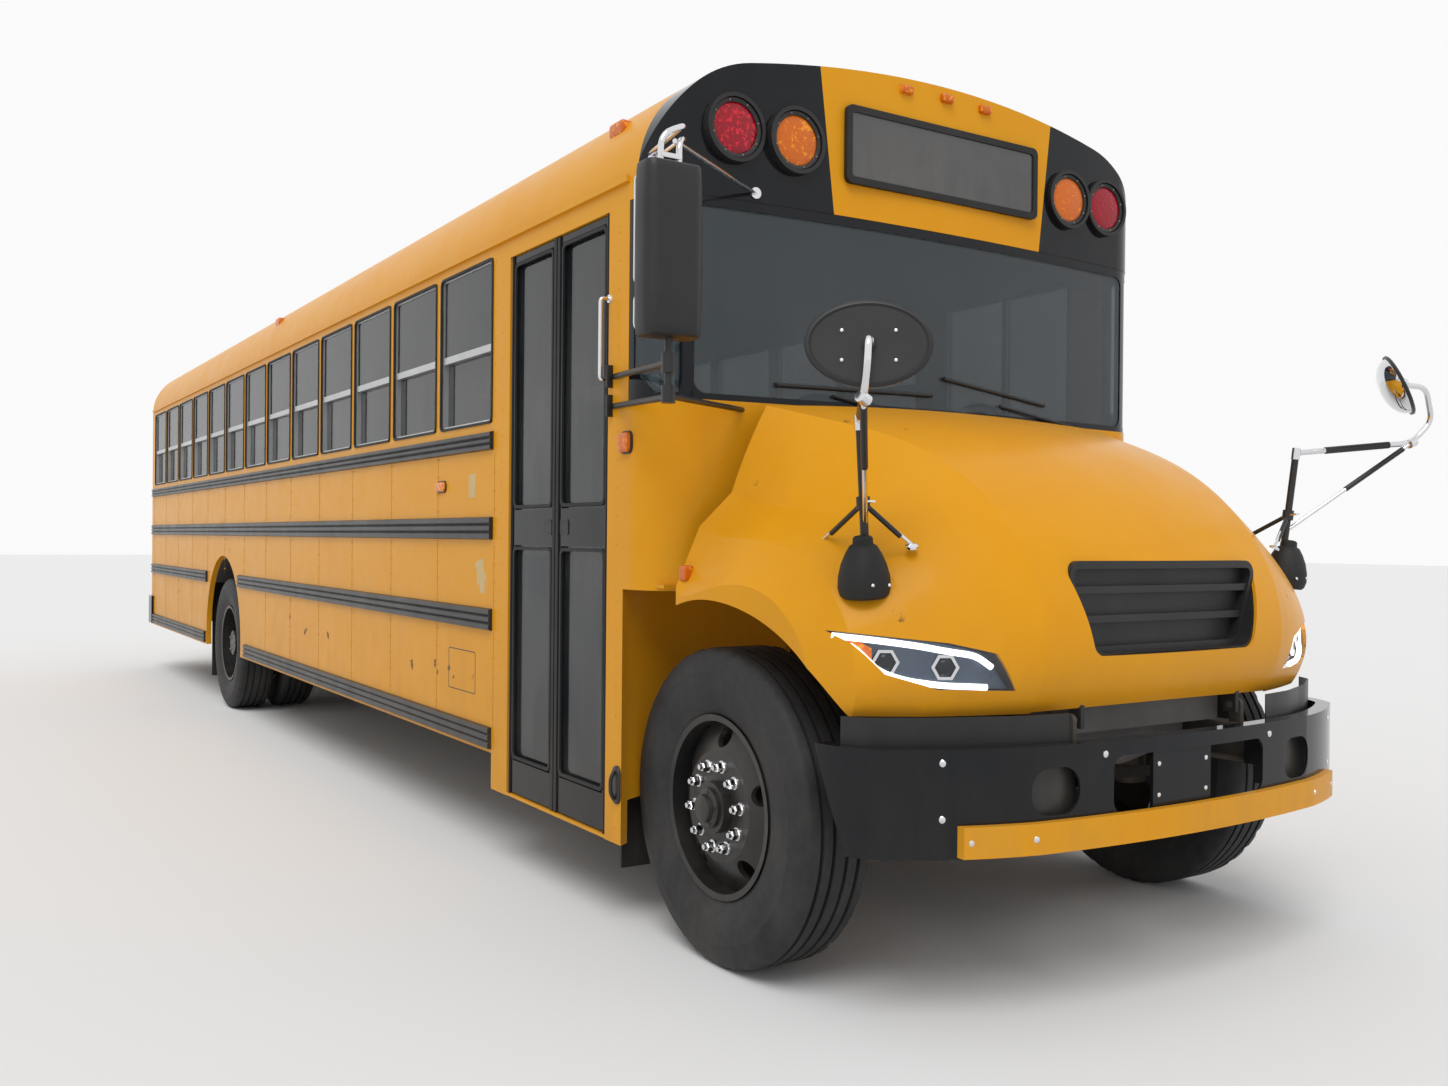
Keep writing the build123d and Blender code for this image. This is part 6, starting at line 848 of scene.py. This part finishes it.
RUST_SPOTS = (  # distance behind the front axle, height, radius
    (5.053, 0.844, 0.014), (4.676, 0.771, 0.018), (4.64, 0.79, 0.012), (4.154, 0.788, 0.02),
    (2.652, 0.748, 0.02), (2.325, 0.782, 0.016), (2.29, 0.742, 0.01), (2.14, 0.775, 0.014),
    (2.08, 0.74, 0.008),
)
spots = [ragged_disc(FRONT_AXLE_X - x, z, radius, number) for number, (x, z, radius) in enumerate(RUST_SPOTS)]
make("rust_spots", spots, RUST)
faded_square = right_plate(rounded(0.085, 0.105, 0.006), FRONT_AXLE_X - 1.87, 1.607, -0.002, 0.0008)
make("worn_patches", [faded_square, ragged_disc(FRONT_AXLE_X - 1.759, 1.215, 0.062, 4.0)], WORN)
hatch_rim = rounded(0.328, 0.186, 0.012), rounded(0.32, 0.178, 0.009)
hatch_middle = (FRONT_AXLE_X - 1.98, -BODY_HALF, 0.781)
make("hatch_gap", [frame_ring(*hatch_rim, hatch_middle, AHEAD, UP, -0.001, 0.0007)], SATIN)

# Side panels: rivets in rows up the posts, laps between panels, and screws along the rub rails
RIVET_ROWS = (np.linspace(1.9, 2.56, 7), np.linspace(1.5, 1.74, 4), np.linspace(1.11, 1.34, 4))
LOW_RIVETS = np.linspace(0.61, 0.95, 5)
DOOR_RIVETS = ((4.44, np.linspace(0.36, 2.46, 22)), (3.4, np.linspace(0.62, 2.46, 18)))
LAP_SPANS = ((1.47, 1.754), (1.077, 1.368))
LOW_LAP = (0.569, 0.978)
RAIL_RUNS = (  # height, rear end, front end
    (1.795, -5.6, 3.25), (1.419, -5.6, 3.25), (1.0275, -5.6, -2.95), (1.0275, -1.55, 3.25),
    (0.52, -5.55, -3.05), (0.52, -1.35, 3.25),
)
rivets, laps, rail_screws = [], [], []
for side in SIDES:
    wall_y, out = side * BODY_HALF, (0, side, 0)
    spots = []
    for number, post_x in enumerate(POSTS_X):
        low_down = number not in POSTS_OVER_WHEELS
        for height in np.concatenate([*RIVET_ROWS, LOW_RIVETS] if low_down else RIVET_ROWS):
            spots += [(post_x + shift, height) for shift in ((-0.014, 0.014) if height < 1.8 else (0,))]
        for low, high in LAP_SPANS + ((LOW_LAP,) if low_down else ()):
            lap_y = sorted((wall_y, wall_y + side * 0.0008))
            laps.append(block((post_x - 0.0007, lap_y[0], low), (post_x + 0.0007, lap_y[1], high)))
    if side < 0:
        spots += [(x, height) for x, heights in DOOR_RIVETS for height in heights]
    rivets += [button((x, wall_y, height), out, 0.0048, 0.0022, 6) for x, height in spots]
    for height, start, end in RAIL_RUNS:
        for x in np.arange(start, end, 0.5 * WINDOW_PITCH):
            rail_screws.append(button((x, wall_y + side * 0.009, height), out, 0.0055, 0.003, 6))
make("body_rivets", rivets, YELLOW, sharp=60.0)
make("rail_screws", rail_screws, STEEL)

# Seats: crowned benches with a welt round each seat, the driver's seat and its pedestal
SEAT_FRONT_X, SEAT_PITCH, SEAT_NEAR_Y, SEAT_FAR_Y = 3.18, 0.7, 0.187, 1.168
SEAT_LOW_Z, SEAT_TOP_Z, BACK_TOP_Z = 1.35, 1.47, 2.07
WELT_INSET, WELT_Z = 0.022, 1.459
seats, piping = [], []
for side in SIDES:
    near, far = sorted((side * SEAT_NEAR_Y, side * SEAT_FAR_Y))
    for x in SEAT_FRONT_X - SEAT_PITCH * np.arange(12):
        seats += [
            cushion((x - 0.42, near, SEAT_LOW_Z + 0.001), (x - 0.001, far, SEAT_TOP_Z), 0.3),
            cushion((x - 0.483, near, SEAT_LOW_Z + 0.01), (x - 0.402, far, BACK_TOP_Z), 0.24, -0.104),
        ]
        rear_x, front_x, near_y, far_y = x - 0.398, x - WELT_INSET, near + WELT_INSET, far - WELT_INSET
        round_seat = ((rear_x, near_y), (front_x, near_y), (front_x, far_y), (rear_x, far_y), (rear_x, near_y))
        piping.append(tube([(*corner, WELT_Z) for corner in round_seat], 0.0045, 6, 0.03))
make("bench_cushions", seats, VINYL, "bus", ("bench_seats",), 60.0)
make("bench_piping", piping, VINYL, sharp=60.0)
driver_pads = [
    cushion((3.445, 0.31, 1.362), (3.978, 0.81, 1.468), 0.34),
    cushion((3.452, 0.325, 1.44), (3.57, 0.795, 2.098), 0.26, -0.18),
]
make("driver_cushions", driver_pads, CLOTH, "bus", ("driver_seat",), 60.0)
swivel = turned([(0, 0.15), (0.04, 0.14), (0.045, 0.05)], (3.72, 0.56, 1.345), UP)
make("driver_pedestal", [block((3.57, 0.4, 1.021), (3.87, 0.72, 1.35)), swivel], SATIN)

# Stop sign: blank octagon with a white border on both faces, turning on a pin; rear door handle
STOP_MIDDLE = (3.665, 1.255, 1.61)
STOP_PIN = (3.93, 1.255, 1.61)


def octagon(half_width):
    """Eight corners with a flat side on top, by the distance from the middle to a side."""
    angle = np.deg2rad(22.5 + 45.0 * np.arange(8))
    return half_width / np.cos(np.pi / 8.0) * np.stack([np.cos(angle), np.sin(angle)], -1)


pin_sleeve = [(-0.04, 0.0085), (0.04, 0.0085), (0.04, 0.015), (-0.04, 0.015)]
make("stop_sign", [
    slab(octagon(0.225), STOP_MIDDLE, AHEAD, UP, -0.003, 0.003),
    block((3.88, 1.252, 1.57), (3.92, 1.258, 1.65)), turned_ring(pin_sleeve, STOP_PIN, UP, 24),
], STOP_RED, "stop_plate", ("stop_arm",))
borders = []
for low in (-0.0036, 0.0024):
    borders.append(frame_ring(octagon(0.219), octagon(0.203), STOP_MIDDLE, AHEAD, UP, low, low + 0.0012))
make("stop_sign_border", borders, HATCH, "stop_plate")
HANDLE_Y = 0.292
handle_loop = [(x, HANDLE_Y, z) for x, z in ((-5.866, 1.41), (-5.9, 1.39), (-5.9, 1.31), (-5.866, 1.29))]
make("exit_handle", [
    slab(rounded(0.052, 0.19, 0.014), (-5.856, HANDLE_Y, 1.35), RIGHT, UP, -0.002, 0.01, 0.004),
    tube(handle_loop, 0.009),
], SATIN, "exit_door")

# Headlamps: dark housing, white light guides, projector modules and an amber end behind the clear lens
LENS_Y = np.array([0.6, 0.634, 0.704, 0.753, 0.833, 0.9, 0.972, 1.002, 1.053, 1.093, 1.115])
LENS_X = FRONT_AXLE_X + np.array([0.872, 0.866, 0.845, 0.83, 0.795, 0.757, 0.717, 0.692, 0.655, 0.598, 0.55])


def behind_lens(side, points, depth):
    """Points (across, up) carried onto the lens and set back by depth."""
    across, up = np.asarray(points, float).T
    return np.stack([np.interp(across, LENS_Y, LENS_X) - depth, side * across, up], -1)


def lamp_patch(side, top, bottom, depth, thickness, count=24):
    """Curved plate between a top and a bottom line, following the lens at a depth."""
    across = np.linspace(max(top[0][0], bottom[0][0]), min(top[-1][0], bottom[-1][0]), count)
    rings = []
    for y, high, low in zip(across, np.interp(across, *zip(*top)), np.interp(across, *zip(*bottom))):
        ring = behind_lens(side, [(y, low), (y, high), (y, high), (y, low)], depth)
        ring[2:, 0] -= thickness
        rings.append(ring)
    return skinned(rings)


LAMP_TOP = ((0.64, 0.962), (0.706, 1.06), (0.834, 1.09), (1.0, 1.111), (1.102, 1.123))
LAMP_BOTTOM = ((0.64, 0.956), (0.7, 0.958), (0.86, 0.963), (1.0, 1.008), (1.102, 1.118))
AMBER_TOP = ((1.01, 1.075), (1.06, 1.108), (1.098, 1.119))
AMBER_BOTTOM = ((1.01, 1.02), (1.06, 1.078), (1.098, 1.113))
GUIDES = (
    ((1.093, 1.109), (1.03, 1.102), (0.972, 1.094), (0.9, 1.083), (0.833, 1.069), (0.753, 1.056), (0.706, 1.022)),
    ((1.063, 1.083), (1.045, 1.066), (1.006, 1.018), (0.98, 1.001), (0.93, 0.984), (0.845, 0.971), (0.72, 0.965)),
)
PROJECTOR_FRAME = ((-0.012, 0.043), (0.004, 0.041), (0.004, 0.031), (-0.012, 0.027))
PROJECTOR = ((-0.014, 0.032), (-0.004, 0.029), (0.004, 0.02), (0.007, 0.006))
housings, guides, projector_frames, projectors, lamp_ambers = [], [], [], [], []
for side in SIDES:
    housings.append(lamp_patch(side, LAMP_TOP, LAMP_BOTTOM, 0.046, 0.004))
    guides += [tube(behind_lens(side, guide, 0.02), 0.0095, 8, 0.03) for guide in GUIDES]
    facing = (0.86, side * 0.5, 0)
    for middle in behind_lens(side, [(0.978, 1.036), (0.828, 1.022)], 0.034):
        projector_frames.append(turned_ring(PROJECTOR_FRAME, middle, facing, 6))
        projectors.append(turned(PROJECTOR, middle, facing))
    lamp_ambers.append(lamp_patch(side, AMBER_TOP, AMBER_BOTTOM, 0.03, 0.004, 10))
make("headlamp_housings", housings, LAMP_INSIDE, "hood")
make("headlamp_guides", guides, LIGHT_GUIDE, "hood")
make("headlamp_projector_frames", projector_frames, CHROME, "hood")
make("headlamp_projectors", projectors, GLOSS, "hood", ())
make("headlamp_ambers", lamp_ambers, AMBER, "hood")

# Grille tunnel: a dark sleeve from the back plate up to the hood's inner face
TUNNEL_BACK_X = 5.7
HOOD_INNER_Z = (1.03, 1.05, 1.1, 1.19, 1.25, 1.3, 1.345)
HOOD_INNER_X = (5.836, 5.838, 5.838, 5.824, 5.805, 5.783, 5.758)


def grille_outline(grow):
    """Grille opening as points (across, up), wider at the top and grown outwards."""
    top, bottom, high, low = 0.454 + grow, 0.372 + grow, 1.327 + grow, 1.046 - grow
    corners = np.array([(top, high), (-top, high), (-bottom, low), (bottom, low)])
    start = 0.5 * (corners[3] + corners[0])
    return bent_path([start, *corners, start], 0.045, 6)[:-1]


tunnel_back = (TUNNEL_BACK_X, 0, 0)
tunnel_outlines = grille_outline(0.01), grille_outline(-0.006)
sleeve, sleeve_faces = frame_ring(*tunnel_outlines, tunnel_back, LEFT, UP, 0, 1.0)
bow = 0.028 * (1.0 - (sleeve[:, 1] / 0.46) ** 2)
inner_x = np.interp(sleeve[:, 2], HOOD_INNER_Z, HOOD_INNER_X) + bow + 0.001
sleeve[:, 0] = TUNNEL_BACK_X + (sleeve[:, 0] - TUNNEL_BACK_X) * (inner_x - TUNNEL_BACK_X)
back_plate = slab(grille_outline(0.006), tunnel_back, LEFT, UP, 0, 0.004)
make("grille_tunnel", [(sleeve, sleeve_faces), back_plate], PLASTIC, "hood")

# Amber marker lenses and the amber lamps' bodies; the fender lenses ride on the hood
MARKERS = (  # middle x, y, z; length, depth, height
    (4.76, 0, 3.066, 0.08, 0.06, 0.034), (4.756, 0.2, 3.062, 0.08, 0.06, 0.034),
    (4.269, 1.12, 2.88, 0.11, 0.06, 0.06), (-0.826, 1.12, 2.88, 0.11, 0.06, 0.06),
    (2.69, 1.219, 1.613, 0.11, 0.032, 0.046), (4.509, 1.219, 1.715, 0.07, 0.044, 0.07),
)
ambers, marker_bases = domes["amber"] + lamp_bodies, []
for x, y, z, length, depth, height in MARKERS:
    half = 0.5 * np.array([length, depth, height])
    for side in SIDES if y > 0 else (1.0,):
        middle = np.array([x, side * y, z])
        ambers.append(cushion(middle - half, middle + half, 0.45))
        if y == BODY_HALF:
            base = rounded(length + 0.012, height + 0.01, 0.022)
            marker_bases.append(slab(base, middle, (-side, 0, 0), UP, -0.003, 0.006, 0.003))
make("amber_lenses", ambers, AMBER, "bus", ("amber_lamps",), 50.0)
make("marker_bases", marker_bases, PLASTIC)
FENDER_LENS_HALF = np.array([0.021, 0.018, 0.026])
fender_lenses = []
for side in SIDES:
    middle = np.array([4.842, side * 1.174, 1.27])
    fender_lenses.append(cushion(middle - FENDER_LENS_HALF, middle + FENDER_LENS_HALF, 0.45))
make("fender_lenses", fender_lenses, AMBER, "hood", sharp=50.0)


# Hood valances above the bumper, pockets behind its tow holes, and the laps between panels
def curtain(side, across, face_x, depth, low, high):
    """Upright sheet that follows face_x over the distances across, depth thick towards the back."""
    corners = ((-depth, low), (0, low), (0, high), (-depth, high))
    return skinned([[(x + shift, side * y, z) for shift, z in corners] for x, y in zip(face_x, across)])


valances, pockets = [], []
for side in SIDES:
    across = np.linspace(0.47, 1.09, 16)
    lip_x = [bumper_x(y) - 0.058 - 0.05 * (y - 0.47) for y in across]
    valances.append(curtain(side, across, lip_x, 0.004, 0.772, 0.884))
    across = np.linspace(0.466, 0.77, 10)
    pocket_x = [bumper_x(y) - 0.034 - 0.04 * max(y - 0.62, 0) for y in across]
    pockets.append(curtain(side, across, pocket_x, 0.06, 0.585, 0.762))
make("hood_valances", valances, PLASTIC, "hood")
make("tow_pockets", pockets, SATIN)
make("panel_laps", laps, PANEL_LAP)

# Floor and light
FLOOR_REACH = 80.0
floor_corners = [(FLOOR_REACH * x, FLOOR_REACH * y, 0) for x, y in ((-1, -1), (1, -1), (1, 1), (-1, 1))]
floor_mesh = bpy.data.meshes.new("studio_floor")
floor_mesh.from_pydata(floor_corners, [], [(0, 1, 2, 3)])
studio_floor = bpy.data.objects.new("studio_floor", floor_mesh)
scene.collection.objects.link(studio_floor)
floor_material, floor_tree, floor_shader = new_material("studio floor")
wire(floor_tree, floor_shader, Base_Color=colour(0.8, 0.8, 0.8), Roughness=0.9, Specular_IOR_Level=0.1)
floor_mesh.materials.append(floor_material)

world = bpy.data.worlds.new("studio")
scene.world = world
world.use_nodes = True
sky = world.node_tree
ray = node(sky, "LightPath")
mirrored = math(sky, "ADD", ray["Is Glossy Ray"], ray["Is Transmission Ray"])
seen_ray = math(sky, "ADD", ray["Is Camera Ray"], mirrored, True)
strength = math(sky, "ADD", math(sky, "MULTIPLY", seen_ray, 0.3), 0.66, True)
wire(sky, sky.nodes["Background"].inputs, Color=WHITE, Strength=strength)

sun_data = bpy.data.lights.new("soft key", "SUN")
sun_data.energy = 1.5
sun_data.angle = 0.6
sun = bpy.data.objects.new("soft key", sun_data)
sun.rotation_euler = Vector((-0.55, 0.5, -1.0)).to_track_quat("-Z", "Y").to_euler()
scene.collection.objects.link(sun)
